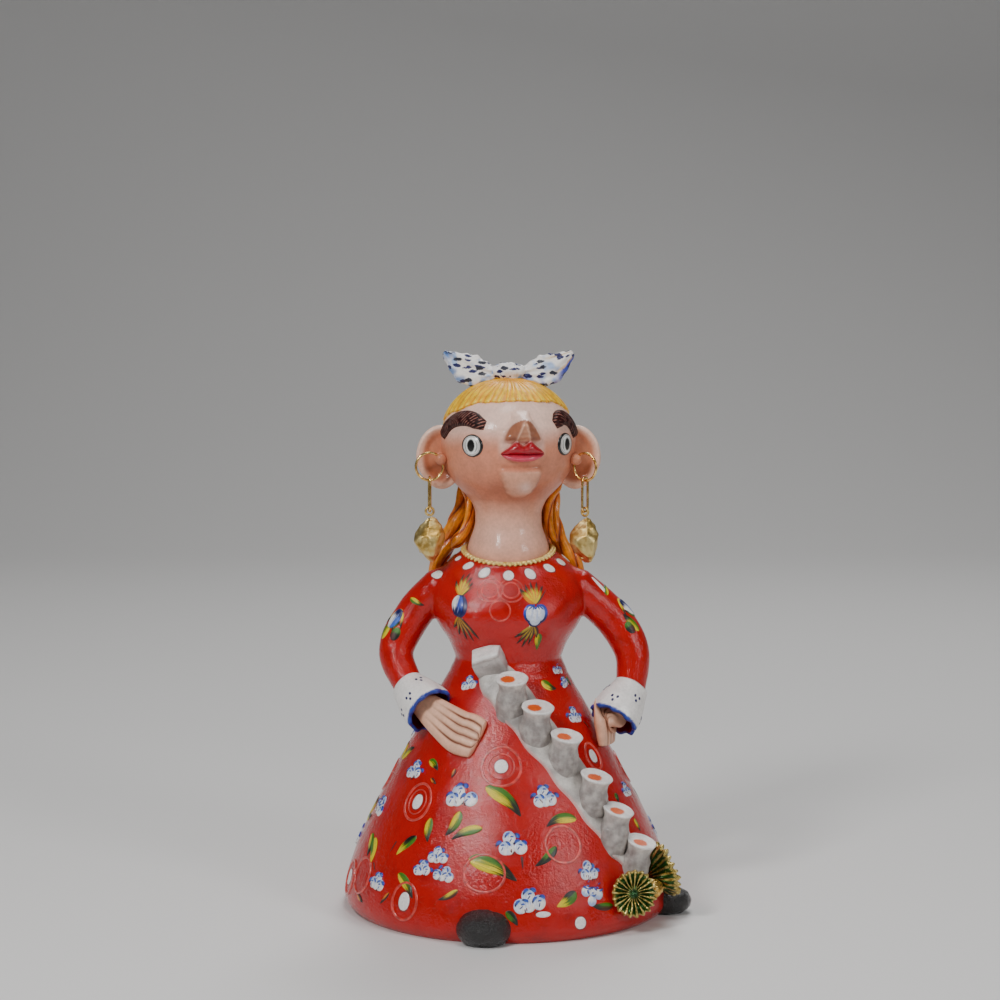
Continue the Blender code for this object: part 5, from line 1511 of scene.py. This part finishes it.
def build_roll(number, azimuth, height):
    """A rolled pleat: a short column with a pinched rim and an orange heart on its top."""
    tilt = math.radians(ROLL_TILT)
    along = UP * math.cos(tilt) + direction(azimuth) * math.sin(tilt)
    top = off(skirt, azimuth, height * MM, ROLL_PROUD * MM)
    across = direction(azimuth + 90)
    deep = along.cross(across).normalized()
    heart = -0.30 * across - 0.12 * deep
    rows, paints = [], []
    profile = [(0.02, -0.1), *((0.1 * k, -0.1) for k in range(1, 9)), (0.88, 0.0), (0.94, 0.12), (1.0, 0.1),
               (1.045, -0.3)]
    profile += [(1.02 - 0.13 * math.sin(math.pi * min(k / 11, 1)) + 0.10 * smooth(k, 7, 17), -0.4 - 0.75 * k)
                for k in range(1, 32)]
    for share, drop in profile:
        row = []
        for i in range(96):
            angle = 2 * math.pi * i / 96
            flat = across * math.cos(angle) + deep * math.sin(angle)
            wobble = 0.03 * math.sin(3 * angle + 2.3 * number) * smooth(-drop, 0.5, 6)
            crimp = 1 + 0.04 * math.sin(2 * angle + number) + wobble
            flare = 1 + 0.05 * bump(drop, -0.5, 1.6)
            point = top + flat * 6.2 * MM * share * crimp * flare + along * drop * MM
            point += flat * 0.3 * grain(point, 3 * MM, number) * smooth(share, 0.8, 1.0) * MM
            row.append(point)
            local = (point - top) / (6.15 * MM) - heart
            away = math.hypot(local.dot(across) / 1.05, local.dot(deep)) + 0.06 * grain((angle, number, 0),
                                                                                        0.7)
            if drop > -0.4:
                colour = blend((0.80, 0.11, 0.003), WHITE, smooth(away, 0.46, 0.53))
            else:
                streak = grain(point, 3.4 * MM, number) + 0.5 * grain(point, 1.3 * MM)
                colour = blend(OFF_WHITE, SHADE, 0.8 * smooth(-drop, 0.3, 5) + 0.55 * streak)
            paints.append(colour)
        rows.append(row)
    piece(f"sash_pleat_{number}", painted(lofted(rows), paints), SASH_PAINT, [f"sash_roll_{number}"])


def build_flap():
    """The folded end of the sash at the waist: a squared fold with a bright top that leans out."""
    low, high = box("sash_flap")
    out = normal_of(bodice, -19, 2 * MM)
    around = UP.cross(out).normalized()
    centre = off(bodice, -19.0, 1.6 * MM, 1.2 * MM)
    turn, tilt = math.radians(20), math.radians(30)
    first = around * math.cos(turn) + UP * math.sin(turn)
    upright = UP * math.cos(turn) - around * math.sin(turn)
    second = upright * math.cos(tilt) + out * math.sin(tilt)
    third = out * math.cos(tilt) - upright * math.sin(tilt)
    mesh = ball(centre, (first, third, second), (7.0 * MM, 4.2 * MM, 6.8 * MM), 60, 88, 0.22)
    pushed(mesh, lambda p: (0.25 * grain(p, 4 * MM) - 0.25 * bump((p - centre).dot(second) / MM, 3.6, 0.4))
           * MM)
    for vertex in mesh.vertices:
        vertex.co.z = min(max(vertex.co.z, low.z), high.z)
        vertex.co.x = min(max(vertex.co.x, low.x), high.x)
    top = 5.4

    def paint(p):
        level = (p - centre).dot(second) / MM
        shaded = smooth(top - level, 0,
                        0.8) * (0.45 + 0.4 * smooth(top - level, 1, 8)) + 0.35 * grain(p, 3.4 * MM)
        return blend(WHITE, SHADE, shaded)

    dye(mesh, paint)
    piece("sash_fold", mesh, SASH_PAINT, ["sash_flap"])


FRILL_PLACES = {"front": (43.5, 16.0, 6.4), "side": (65.5, 20.5, 5.0)}  # azimuth, height, how proud in mm
FRILL_FACING = {"front": 18.0, "side": 112.0}
FRILL_RADIUS = {"front": 9.8, "side": 11.8}


def build_frill(which):
    """A ribbed wheel: gold on the ribs, green in the folds."""
    azimuth, height, proud = FRILL_PLACES[which]
    facing = (direction(FRILL_FACING[which]) + UP * (0.12 if which == "front" else 0.3)).normalized()
    mouth = off(skirt, azimuth, height * MM, proud * MM)
    across = UP.cross(facing).normalized()
    upward = facing.cross(across)
    radius = FRILL_RADIUS[which]
    profile = [(0.12, 0.2), (0.2, 0.1), (0.3, -0.5), (0.45, -0.6), (0.6, -0.1), (0.75, 0.5), (0.86, 0.9),
               (0.95, 0.9), (1.0, 0.4),
               (1.01, -0.3), (0.97, -1.2), (0.88, -2.4), (0.74, -4.0), (0.58, -5.6), (0.4, -7.0), (0.2, -8.0)]
    knots = smooth_path([Vector((*row, 0)) for row in profile], 5)
    rows, paints = [], []
    ribs = 21
    for knot in knots:
        row = []
        for i in range(260):
            angle = 2 * math.pi * i / 260
            phase = math.cos(ribs * angle + 0.6 * math.sin(2 * angle))
            rib = math.copysign(abs(phase) ** 0.8, phase) * smooth(knot.x, 0.15, 0.5)
            scallop = 1 + 0.045 * phase * smooth(knot.x, 0.5, 1.0)
            flat = across * math.cos(angle) + upward * math.sin(angle)
            crease = 0.35 * math.sin(9 * knot.x + 3 * math.sin(3 * angle))
            forward = facing * (knot.y + 0.6 * rib + crease) * MM
            point = mouth + flat * radius * knot.x * scallop * MM + forward
            row.append(point + facing * 0.25 * grain(point, 1.5 * MM) * MM)
            gilt = blend(srgb(150, 120, 40), srgb(236, 212, 130), 0.5 + 0.7 * grain(point, 1.2 * MM))
            colour = blend(srgb(22, 74, 8), gilt, smooth(phase + 0.6 * grain(point, 2 * MM), 0.1, 0.8))
            colour = blend(srgb(20, 70, 22), colour, smooth(knot.x, 0.12, 0.34))
            paints.append(blend(colour, gilt, 0.8 * smooth(knot.x, 0.88, 0.97) * (1 if knot.y > -1 else 0)))
        rows.append(row)
    piece(f"ribbed_{which}_frill", painted(lofted(rows), paints), ROSETTE_PAINT, [f"rosette_{which}_frill"])


KNOB_PLACE = (54.5, 15.5 * MM)


def build_knob():
    out = normal_of(skirt, *KNOB_PLACE)
    around = UP.cross(out).normalized()
    centre = off(skirt, *KNOB_PLACE, 4.4 * MM)
    mesh = ball(centre, (around, out, out.cross(around)), (4.3 * MM, 5.2 * MM, 4.3 * MM), 40, 60)
    pushed(mesh, lambda p: (0.5 * grain(p, 2.6 * MM) + 0.25 * grain(p, 1.2 * MM)) * MM)
    piece("gilt_knob", mesh, GILT, ["rosette_knob"])


def build_shoe(which, azimuth, reach, half_width, half_length, height):
    out = direction(azimuth)
    centre = AXIS + out * (SKIRT_RADIUS + (reach - half_length) * MM) + UP * 0.42 * height * MM
    mesh = ball(centre, (UP.cross(out), out, UP), (half_width * MM, half_length * MM, 0.58 * height * MM), 56,
                96, 0.95)
    pushed(mesh, lambda p: (0.3 * grain(p, 4 * MM) + 0.2 * grain(p, 1.6 * MM) - 0.3) * MM)
    for vertex in mesh.vertices:
        vertex.co.z = max(vertex.co.z, 0.0)
    piece(f"{which}_black_shoe", mesh, SHOE_PAINT, [f"{which}_shoe"])


# ---------------------------------------------------------------- painted motifs


class Strokes:
    """Collects brush strokes: thin domes of paint that lie on a skin."""

    def __init__(self, way=1):
        self.way = way
        self.points, self.faces, self.flows = [], [], []
        self.paints = {"paint_a": [], "paint_b": [], "paint_c": []}

    def lay(self, surface, tree, at, line, half_width, profile, proud, colours, across=9):
        """A stroke along points (x, y) in mm round a place. profile gives its width down its length."""
        path = smooth_path([Vector((x, y, 0)) for x, y in line], max(4, 26 // (len(line) - 1)))
        count = len(path) - 1
        first = len(self.points)
        seed = 7.3 * len(self.flows) % 91
        for i, point in enumerate(path):
            ahead = (path[min(i + 1, count)] - path[max(i - 1, 0)]).normalized()
            s = i / count
            width = half_width * profile(s)
            for k in range(across):
                t = 2 * k / (across - 1) - 1
                x, y = point.x - ahead.y * width * t, point.y + ahead.x * width * t
                place_at, out = spot(surface, at, x, y, self.way)
                dome = max(1 - t**4, 0) ** 0.5 * min(1, 0.35 + 1.4 * profile(s)) * smooth(profile(s), 0.02,
                                                                                          0.25)
                self.points.append(tuple(laid(tree, place_at, out, (proud * dome - 0.06) * MM)))
                self.flows += [s, t, seed]
                for name, colour in zip(self.paints, colours, strict=True):
                    self.paints[name] += [*colour, 1.0]
        for i in range(count):
            for k in range(across - 1):
                corner = first + i * across + k
                self.faces.append((corner, corner + across, corner + across + 1, corner + 1))

    def build(self, name, paint):
        mesh = bpy.data.meshes.new("strokes")
        mesh.from_pydata(self.points, [], self.faces)
        flow = mesh.attributes.new("flow", "FLOAT_VECTOR", "POINT")
        flow.data.foreach_set("vector", self.flows)
        for key, values in self.paints.items():
            mesh.attributes.new(key, "FLOAT_COLOR", "POINT").data.foreach_set("color", values)
        mesh.shade_smooth()
        return piece(name, mesh, paint)


def round_profile(s):
    return max(1 - (2 * s - 1) ** 2, 0) ** 0.5


def leaf_profile(s):
    return max(math.sin(math.pi * s**0.72), 0) ** 0.85


def drop_profile(s):
    """Full and round where the brush lands, then drawn out to a point."""
    return max(1 - s, 0) ** 0.62 * min(1, s / 0.14) ** 0.5


def turned_line(points, turn):
    """Points (x, y) turned anticlockwise by this many degrees."""
    c, s = math.cos(math.radians(turn)), math.sin(math.radians(turn))
    return [(x * c - y * s, x * s + y * c) for x, y in points]


def noise_turns(seed):
    """A steady source of values from -1 to 1 for one motif."""
    return lambda at: max(-1.0, min(1.0, 1.8 * grain((3.7 * seed, 5.1 * at, 0.5), 1.0)))


class Painter:
    """Paints folk motifs on one surface. Places are the surface's own, lengths in mm, turns in degrees."""

    def __init__(self, surface, tree, way=1):
        self.surface, self.tree = surface, tree
        self.strokes, self.reliefs = Strokes(way), Strokes(way)
        self.count = 0

    def leaf(self, at, turn, length, width, bend=0.0, colours=(LEAF_YELLOW, LEAF_GREEN, LEAF_DARK),
             proud=0.34):
        """Starts at its place and runs the way that it is turned: 0 is towards +azimuth and 90 is up."""
        line = turned_line([(0, 0), (0.3 * length, 0.75 * bend), (0.65 * length, 0.9 * bend), (length, 0)],
                           turn)
        self.strokes.lay(self.surface, self.tree, at, line, 0.5 * width, leaf_profile, proud, colours)

    def dab(self, at, turn, length, width, colours, proud=0.42, shift=(0, 0)):
        line = turned_line([(0, 0), (0.5 * length, 0), (length, 0)], turn)
        line = [(x + shift[0], y + shift[1]) for x, y in line]
        self.strokes.lay(self.surface, self.tree, at, line, 0.5 * width, round_profile, proud, colours)

    def liner(self, at, turn, length, width=0.9, colour=MAROON, bend=0.0):
        line = turned_line([(0, 0), (0.5 * length, bend), (length, 0)], turn)
        self.strokes.lay(self.surface, self.tree, at, line, 0.5 * width, drop_profile, 0.22,
                         (colour, colour, BLACK))

    def flower(self, at, size, turn=0.0, shade=BLUE):
        """A cloud of white dabs in three lobes, with thick broken blue strokes along their tops."""
        self.count += 1
        pick = noise_turns(self.count)
        lobes = ((-0.30, -0.12), (0.31, -0.10), (0.02, 0.20))
        for x, y in (*lobes, (-0.02, -0.12)):
            x, y = turned_line([((x + 0.05 * pick(x)) * size, (y + 0.05 * pick(y + 3)) * size)], turn)[0]
            lean = 90 + turn + 26 * pick(x + y)
            self.dab(at, lean, 0.54 * size, 0.50 * size, (WHITE, srgb(222, 228, 242), srgb(170, 190, 230)),
                     0.5,
                     (x, y - 0.25 * size))
        for k, (x, y) in enumerate(lobes):
            x, y = turned_line([(x * size, y * size)], turn)[0]
            for first, last, weight, reach in ((18, 78, 0.085, 0.27), (98, 168, 0.075, 0.27),
                                               (50, 130, 0.055, 0.12)):
                line = []
                for step in range(4):
                    angle = math.radians(first + (last - first) * step / 3 + turn + 22 * pick(k + first))
                    line.append((x + reach * size * math.cos(angle),
                                 y - 0.03 * size + reach * size * math.sin(angle)))
                self.strokes.lay(self.surface, self.tree, at, line, weight * size, leaf_profile, 0.66,
                                 (shade, srgb(70, 110, 200), NAVY), 5)
            self.dab(at, 240 + turn + 30 * pick(k + 9), 0.16 * size, 0.055 * size, (NAVY, shade, NAVY), 0.62,
                     (x, y + 0.02 * size))
        for k in range(3):
            x, y = turned_line([(0.32 * size * pick(5 * k + 1), -0.30 * size + 0.1 * size * pick(7 * k))],
                               turn)[0]
            self.dab(at, 90 + 40 * pick(k), 0.13 * size, 0.05 * size, (MAROON, MAROON, DEEP_RED), 0.6, (x, y))

    def dot(self, at, radius, tall=1.0, rim=0.5):
        """A white dot on a slightly larger dark red one."""
        for grow, proud, colour in ((rim, 0.16, DEEP_RED), (0.0, 0.42, WHITE)):
            height = (radius + grow) * tall
            self.strokes.lay(self.surface, self.tree, at, [(0, -height), (0, 0), (0, height)], radius + grow,
                             round_profile, proud, (colour, colour, colour), 11)

    def stamp(self, at, radius, tall=1.0, weight=0.6, proud=0.5):
        """A ring pressed into the wet ground: a raised line."""
        line = [(radius * math.cos(math.radians(15 * k)), tall * radius * math.sin(math.radians(15 * k)))
                for k in range(25)]
        strokes, colours = self.reliefs, (RED, RED, RED)
        strokes.lay(self.surface, self.tree, at, line, weight, lambda s: 1.0, proud, colours, 7)

    def finish(self, name):
        if self.strokes.points:
            self.strokes.build(name + "_motifs", STROKES)
        if self.reliefs.points:
            self.reliefs.build(name + "_stamps", STAMP_GLOSS)


def at_mm(azimuth, height):
    return azimuth, height * MM


def spray(painter, at, turn, count, length, spread=70, colours=(LEAF_YELLOW, LEAF_GREEN, LEAF_DARK),
          width=2.4):
    """A fan of strokes out of one place."""
    for k in range(count):
        share = k / max(count - 1, 1) - 0.5
        painter.leaf(at, turn + spread * share, length * (1 - 0.25 * abs(share)), width, 0.5 * share * width,
                     colours)


def paint_skirt(skin):
    p = Painter(skirt, skin)
    dark_leaf, brown_leaf = (LEAF_GREEN, LEAF_DARK, LEAF_DARK), (AMBER, MAROON, LEAF_DARK)
    # The front, from the waist down.
    p.flower(at_mm(-39, 102), 7.5, 15)
    p.flower(at_mm(60, 107), 6.5, -10)
    p.flower(at_mm(62, 101), 6.0, 10)
    p.leaf(at_mm(33, 103.5), -35, 8, 4.2, -0.8)
    p.leaf(at_mm(71, 103), -80, 5, 2.0, 0, dark_leaf)
    p.flower(at_mm(54, 88), 8.5, -10)
    p.liner(at_mm(62, 85), -60, 5)
    p.dot(at_mm(55, 71), 2.5, 1.25)
    p.stamp(at_mm(55, 71), 4.6, 1.35)
    p.dot(at_mm(-4, 70.5), 3.1)
    p.stamp(at_mm(-4, 70.5), 5.6, 1.0, 0.35)
    p.stamp(at_mm(-4, 70.5), 8.4, 1.05)
    p.flower(at_mm(-57, 64.5), 10, 8)
    p.leaf(at_mm(-49, 70), -28, 8, 3.6, 0.8)
    p.leaf(at_mm(-43, 63.5), -30, 4.5, 1.8, 0, brown_leaf)
    p.leaf(at_mm(-29.5, 68.5), -100, 4.5, 2.0, 0, brown_leaf)
    p.dot(at_mm(-46, 53.5), 2.9, 1.2)
    p.stamp(at_mm(-46, 53.5), 7.2, 1.15)
    p.stamp(at_mm(-46, 53.5), 4.8, 1.15, 0.3)
    p.flower(at_mm(-23.5, 58), 12.5, 4)
    p.leaf(at_mm(-11.5, 62.5), -42, 20, 6.4, 2.2)
    p.flower(at_mm(17, 58.5), 11, 0)
    p.flower(at_mm(72, 54), 8, -8)
    p.leaf(at_mm(60, 55), -100, 4.5, 3.0, 0, dark_leaf)
    p.leaf(at_mm(-35.5, 48.5), -82, 11, 4.2, -0.6)
    p.leaf(at_mm(-22, 52.5), -112, 12.5, 4.6, 1.0)
    p.leaf(at_mm(-11, 46.5), -155, 14.5, 4.2, -1.4)
    p.leaf(at_mm(30.5, 48.5), -172, 15, 4.8, -2.4, (LEAF_GREEN, LEAF_YELLOW, LEAF_DARK))
    p.leaf(at_mm(66, 43), -80, 6.5, 2.6)
    p.leaf(at_mm(-66, 35), -68, 12, 5.6, 0.8, (LEAF_GREEN, LEAF_YELLOW, LEAF_YELLOW))
    p.leaf(at_mm(-40, 40.5), -130, 13, 4.4, -0.8, (LEAF_DARK, LEAF_GREEN, LEAF_YELLOW))
    p.liner(at_mm(-50, 37), -110, 6)
    p.liner(at_mm(-60, 26), -45, 5)
    p.flower(at_mm(1, 40.5), 11.5, 0)
    p.liner(at_mm(5, 36), -88, 6, 1.4)
    p.leaf(at_mm(19, 39), -142, 13, 4.0, 0.8, dark_leaf)
    p.stamp(at_mm(22, 39.5), 8.0)
    p.flower(at_mm(-28, 34.5), 8.5, 0)
    p.flower(at_mm(-33.5, 28.5), 8.5, 6)
    p.flower(at_mm(-25, 27.5), 8.5, -8)
    p.leaf(at_mm(-15.5, 34.5), -24, 23, 7.6, 2.2)
    p.stamp(at_mm(-9, 29), 8.8, 0.9)
    p.flower(at_mm(-54, 19), 9.5, -6)
    p.stamp(at_mm(-65.5, 19), 7.2, 1.1)
    p.leaf(at_mm(-44, 25), -42, 14.5, 4.6, 1.2)
    p.leaf(at_mm(-65, 10.8), -20, 6.5, 2.8, 0, brown_leaf)
    p.leaf(at_mm(-46, 16.5), -128, 7.5, 2.0, 0, brown_leaf)
    p.leaf(at_mm(-18, 22), -150, 10, 3.0, 0.6, (LEAF_YELLOW, BROWN, LEAF_DARK))
    p.dot(at_mm(-38.5, 14.5), 3.1, 1.3)
    p.stamp(at_mm(-38.5, 14.5), 6.6, 1.2)
    p.flower(at_mm(30.5, 28), 9, -5)
    p.flower(at_mm(31, 22), 8.5, 160)
    p.flower(at_mm(7.5, 18), 12, 8)
    p.leaf(at_mm(24, 21), -148, 11, 5.4, 0.8, (LEAF_DARK, LEAF_GREEN, LEAF_YELLOW))
    p.dab(at_mm(9, 12.8), 0, 6.5, 2.6, (WHITE, WHITE, WHITE), 0.4)
    p.leaf(at_mm(38, 13), 172, 11.5, 3.6, 0.6, (LEAF_GREEN, BROWN, LEAF_DARK))
    p.leaf(at_mm(-1, 14.5), -52, 8, 3.8, 0.5, dark_leaf)
    p.dot(at_mm(24.5, 8), 2.7)
    p.finish("skirt_front")
    # Sides and back repeat the same motifs in a freer order.
    p = Painter(skirt, skin)
    for turn in (96, 138, 180, 222, 264):
        lift = 4 * math.sin(turn)
        p.flower(at_mm(turn, 28 + lift), 11.5, 10 * math.sin(2 * turn))
        spray(p, at_mm(turn + 4, 38 + lift), 62, 3, 12, 95, width=4.2)
        spray(p, at_mm(turn - 5, 19 + lift), -110, 2, 11, 60, width=4.2)
        p.dot(at_mm(turn + 18, 15 - lift), 3.0, 1.2)
        p.stamp(at_mm(turn + 18, 15 - lift), 6.6, 1.15)
        p.flower(at_mm(turn + 20, 47 - lift), 10, -12)
        p.leaf(at_mm(turn + 26, 36), -70, 11, 4.4, 1.0)
        p.stamp(at_mm(turn, 56 + lift), 7.6)
        p.dot(at_mm(turn, 56 + lift), 2.8)
        p.leaf(at_mm(turn + 16, 66), 40, 12, 4.2, 1.2)
        p.leaf(at_mm(turn + 13, 66), 130, 10, 3.8, -1.0)
        p.flower(at_mm(turn + 4, 77 - lift), 8.5, 6)
        p.leaf(at_mm(turn + 22, 88), -80, 7, 3.0, 0.4, dark_leaf)
        p.dot(at_mm(turn + 8, 92), 2.0)
    p.finish("skirt_back")


def paint_bodice(skin):
    p = Painter(bodice, skin)
    for azimuth, height, radius, tall in ((-76, 37.5, 2.6, 0.8), (-47, 45, 2.4, 1.0), (-23.5, 43, 2.6, 1.0),
                                          (0, 42, 2.5, 0.9),
                                          (20.5, 42.5, 2.5, 1.05), (45, 44, 2.5, 1.0), (70, 44.5, 2.3, 1.0),
                                          (-74, 45.8, 1.6, 1.0)):
        p.dot(at_mm(azimuth, height), radius, tall)
    for turn in range(100, 261, 20):
        p.dot(at_mm(turn, 43.5), 2.4)
    p.dab(at_mm(84, 34.5), -90, 6.5, 1.3, (WHITE, WHITE, WHITE))
    # Left flower: half white and half blue, with strokes above and below.
    left, right = at_mm(-37, 26.5), at_mm(19, 23.5)
    p.dab(left, -90, 10.4, 8.4, (NAVY, NAVY, NAVY), 0.5, (0.3, 5.2))
    p.dab(left, -96, 9.6, 7.4, (WHITE, BLUE, NAVY), 0.7, (0, 4.8))
    for turn, reach in ((128, 9), (108, 11.5), (92, 12), (74, 10), (56, 8)):
        p.leaf(at_mm(-36.5, 31), turn, reach, 2.1, 0.4, (LEAF_YELLOW, AMBER, BLACK))
        p.liner(at_mm(-35.5, 31), turn - 8, 0.85 * reach, 1.0, BLACK)
    for turn, reach in ((-140, 9), (-120, 10.5), (-98, 11.5), (-78, 12), (-58, 12.5)):
        p.leaf(at_mm(-36.5, 22), turn, reach, 2.1, 0.5, (srgb(196, 144, 20), MAROON, LEAF_DARK))
    # Right flower: a white disc in a blue rim.
    for x, y, length, wide in ((-2.2, 4.4, 8.0, 6.4), (2.4, 4.4, 8.4, 6.4), (0, 3.2, 9.0, 7.6)):
        p.dab(right, -90, length, wide, (BLUE, BLUE, NAVY), 0.45, (x, y))
    for x, y, length, wide in ((-2.0, 3.5, 6.4, 5.0), (2.0, 3.4, 6.4, 5.0), (0, 2.2, 7.2, 6.2)):
        p.dab(right, -90, length, wide, (srgb(232, 232, 236), srgb(186, 196, 226), srgb(200, 208, 228)), 0.8,
              (x, y))
    for x, turn in ((-3.2, 40), (-1.0, 80), (1.6, 110), (3.4, 140)):
        p.dab(right, turn, 2.6, 0.8, (BLUE, NAVY, BLUE), 0.95, (x, 1.8))
    for turn, reach, wide in ((132, 10.5, 3.4), (112, 10.5, 2.2), (94, 11, 2.1), (76, 11, 2.1),
                              (58, 10, 2.0)):
        p.leaf(at_mm(19, 28), turn, reach, wide, 0.4, (LEAF_YELLOW, AMBER, BLACK))
        p.liner(at_mm(20, 28), turn - 9, 0.9 * reach, 1.0, BLACK)
    for turn, reach in ((-146, 10.5), (-128, 11.5), (-110, 11.5), (-92, 9.5), (-64, 8.0)):
        p.leaf(at_mm(18.5, 18.5), turn, reach, 2.2, 0.5, (srgb(170, 140, 20), MAROON, LEAF_DARK))
    p.leaf(at_mm(24, 14.5), -76, 9.5, 3.6, 0.4, (LEAF_YELLOW, LEAF_GREEN, LEAF_GREEN))
    for azimuth in (-14, 2):
        p.stamp(at_mm(azimuth, 34.5), 3.6, 1.0, 0.45, 0.24)
        p.stamp(at_mm(azimuth, 34.5), 5.4, 1.0, 0.4, 0.2)
    p.stamp(at_mm(-6, 25), 4.4, 1.0, 0.4, 0.2)
    for turn in (150, 210):
        p.flower(at_mm(turn, 26), 9.5)
        spray(p, at_mm(turn, 32), 90, 4, 9, 70, (LEAF_YELLOW, AMBER, BLACK), 1.7)
        spray(p, at_mm(turn, 21), -90, 4, 9, 70, (srgb(150, 128, 40), MAROON, LEAF_DARK), 1.7)
    p.finish("bodice")


def paint_sleeves(skin):
    """Angles run from the outer side of the arm towards the front, distances down the arm in mm."""
    for side in (LEFT, RIGHT):
        p = Painter(sleeve(side), skin, side)
        flower = (48, 23.5) if side == LEFT else (16, 22)
        p.dab(at_mm(*flower), -90, 10, 6.6, (srgb(30, 70, 180), WHITE, NAVY) if side == RIGHT else
              (WHITE, srgb(40, 90, 190), NAVY), 0.6, (0, 5))
        spray(p, at_mm(flower[0], flower[1] - 5), 90, 4, 11, 66, (LEAF_YELLOW, AMBER, LEAF_DARK), 1.9)
        spray(p, at_mm(flower[0], flower[1] + 5), -90, 3, 8, 60, (MAROON, LEAF_GREEN, LEAF_DARK), 1.9)
        p.dab(at_mm(76 if side == LEFT else 68, 33), -90, 6.5, 4.4, (BROWN, LEAF_DARK, LEAF_GREEN), 0.4)
        p.leaf(at_mm(30 if side == LEFT else 46, 33), -84, 12, 4.2, 0.5, (LEAF_GREEN, LEAF_YELLOW, LEAF_DARK))
        p.leaf(at_mm(40 if side == LEFT else 38, 12), -20 if side == LEFT else 200, 7.5, 3.0, 0.6)
        for angle in (-70, -130):
            p.flower(at_mm(angle, 22), 6.5)
            p.leaf(at_mm(angle, 30), -80, 9, 3.4, 0.5)
            p.leaf(at_mm(angle + 10, 14), 80, 7, 2.2, 0.4)
        p.finish(NAMES[side] + "_sleeve")


def paint_cuffs(skins):
    for side, skin in skins.items():
        p = Painter(cuff_surface(side), skin)
        for angle in range(0, 360, 52):
            for x, y in ((-1.3, -1.4), (1.3, -1.2), (0.1, 0.9)):
                p.dab(at_mm(angle, 6.5 if (angle // 52) % 2 else 12.0), 90, 1.5, 1.25, (NAVY, NAVY, NAVY),
                      0.22, (x, y))
        p.strokes.build(NAMES[side] + "_cuff_dots", STROKES)


# ---------------------------------------------------------------- the stage


LIGHTS = (  # azimuth, height, distance from the axis, size, power
    ("key", -34, 0.74, 0.80, 0.20, 5.2),
    ("fill", 46, 0.52, 0.9, 0.22, 2.2),
    ("top", 5, 1.15, 0.25, 0.30, 2.6),
    ("back", 165, 1.3, 0.9, 0.6, 9.0),
)
CAMERA_PITCH, CAMERA_DISTANCE = math.radians(6), 1.1


def build_stage():
    floor = bpy.data.meshes.new("floor")
    profile = [(-3.0, 0.0), *((1.2 + 0.8 * math.sin(0.5 * math.pi * k / 24),
                               0.8 - 0.8 * math.cos(0.5 * math.pi * k / 24))
                              for k in range(25)), (2.0, 3.5)]
    points = [(x, y, z) for y, z in profile for x in (-4.0, 4.0)]
    floor.from_pydata(points, [], [(2 * k, 2 * k + 1, 2 * k + 3, 2 * k + 2) for k in range(len(profile) - 1)])
    floor.shade_smooth()
    made = in_scene("floor", floor)
    pale = bpy.data.materials.new("pale_floor")
    pale.use_nodes = True
    shader = pale.node_tree.nodes["Principled BSDF"]
    shader.inputs["Base Color"].default_value = (0.78, 0.77, 0.76, 1)
    shader.inputs["Roughness"].default_value = 0.6
    floor.materials.append(pale)

    world = bpy.data.worlds.new("studio")
    world.use_nodes = True
    world.node_tree.nodes["Background"].inputs[0].default_value = (0.86, 0.87, 0.88, 1)
    world.node_tree.nodes["Background"].inputs[1].default_value = 0.14
    bpy.context.scene.world = world

    aim = AXIS + UP * 0.12
    for name, azimuth, height, distance, size, power in LIGHTS:
        light = bpy.data.lights.new(name, "AREA")
        light.size = size
        light.energy = power
        lamp = in_scene(name, light)
        lamp.location = AXIS + direction(azimuth) * distance + UP * height
        lamp.rotation_euler = (aim - lamp.location).to_track_quat("-Z", "Y").to_euler()

    camera = bpy.data.cameras.new("camera")
    camera.lens, camera.sensor_width = 90, 36
    eye = in_scene("camera", camera)
    target = AXIS + Vector((-3.7 * MM, 0, 180 * MM))
    eye.location = target + Vector((0, -math.cos(CAMERA_PITCH), math.sin(CAMERA_PITCH))) * CAMERA_DISTANCE
    eye.rotation_euler = (0.5 * math.pi - CAMERA_PITCH, 0, 0)
    bpy.context.scene.camera = eye


build_stage()
skirt_skin, top_skin = build_dress()
build_trim()
face_skin = build_head()
build_eyes(face_skin)
build_brows(face_skin)
build_lips(face_skin)
build_ears()
build_cap()
build_locks()
build_bow()
build_earrings()
cuff_skins = {side: build_cuff(side) for side in (LEFT, RIGHT)}
for side in (LEFT, RIGHT):
    build_hand(side)
build_strip(skirt_skin)
for number, (azimuth, height) in enumerate(ROLL_PLACES, 1):
    build_roll(number, azimuth, height)
build_flap()
build_frill("front")
build_frill("side")
build_knob()
build_shoe("front", -8.5, 7.6, 12.6, 13.0, 15.5)
build_shoe("side", 75.0, 10.0, 10.0, 15.0, 12.5)
paint_skirt(skirt_skin)
paint_bodice(top_skin)
paint_sleeves(top_skin)
paint_cuffs(cuff_skins)
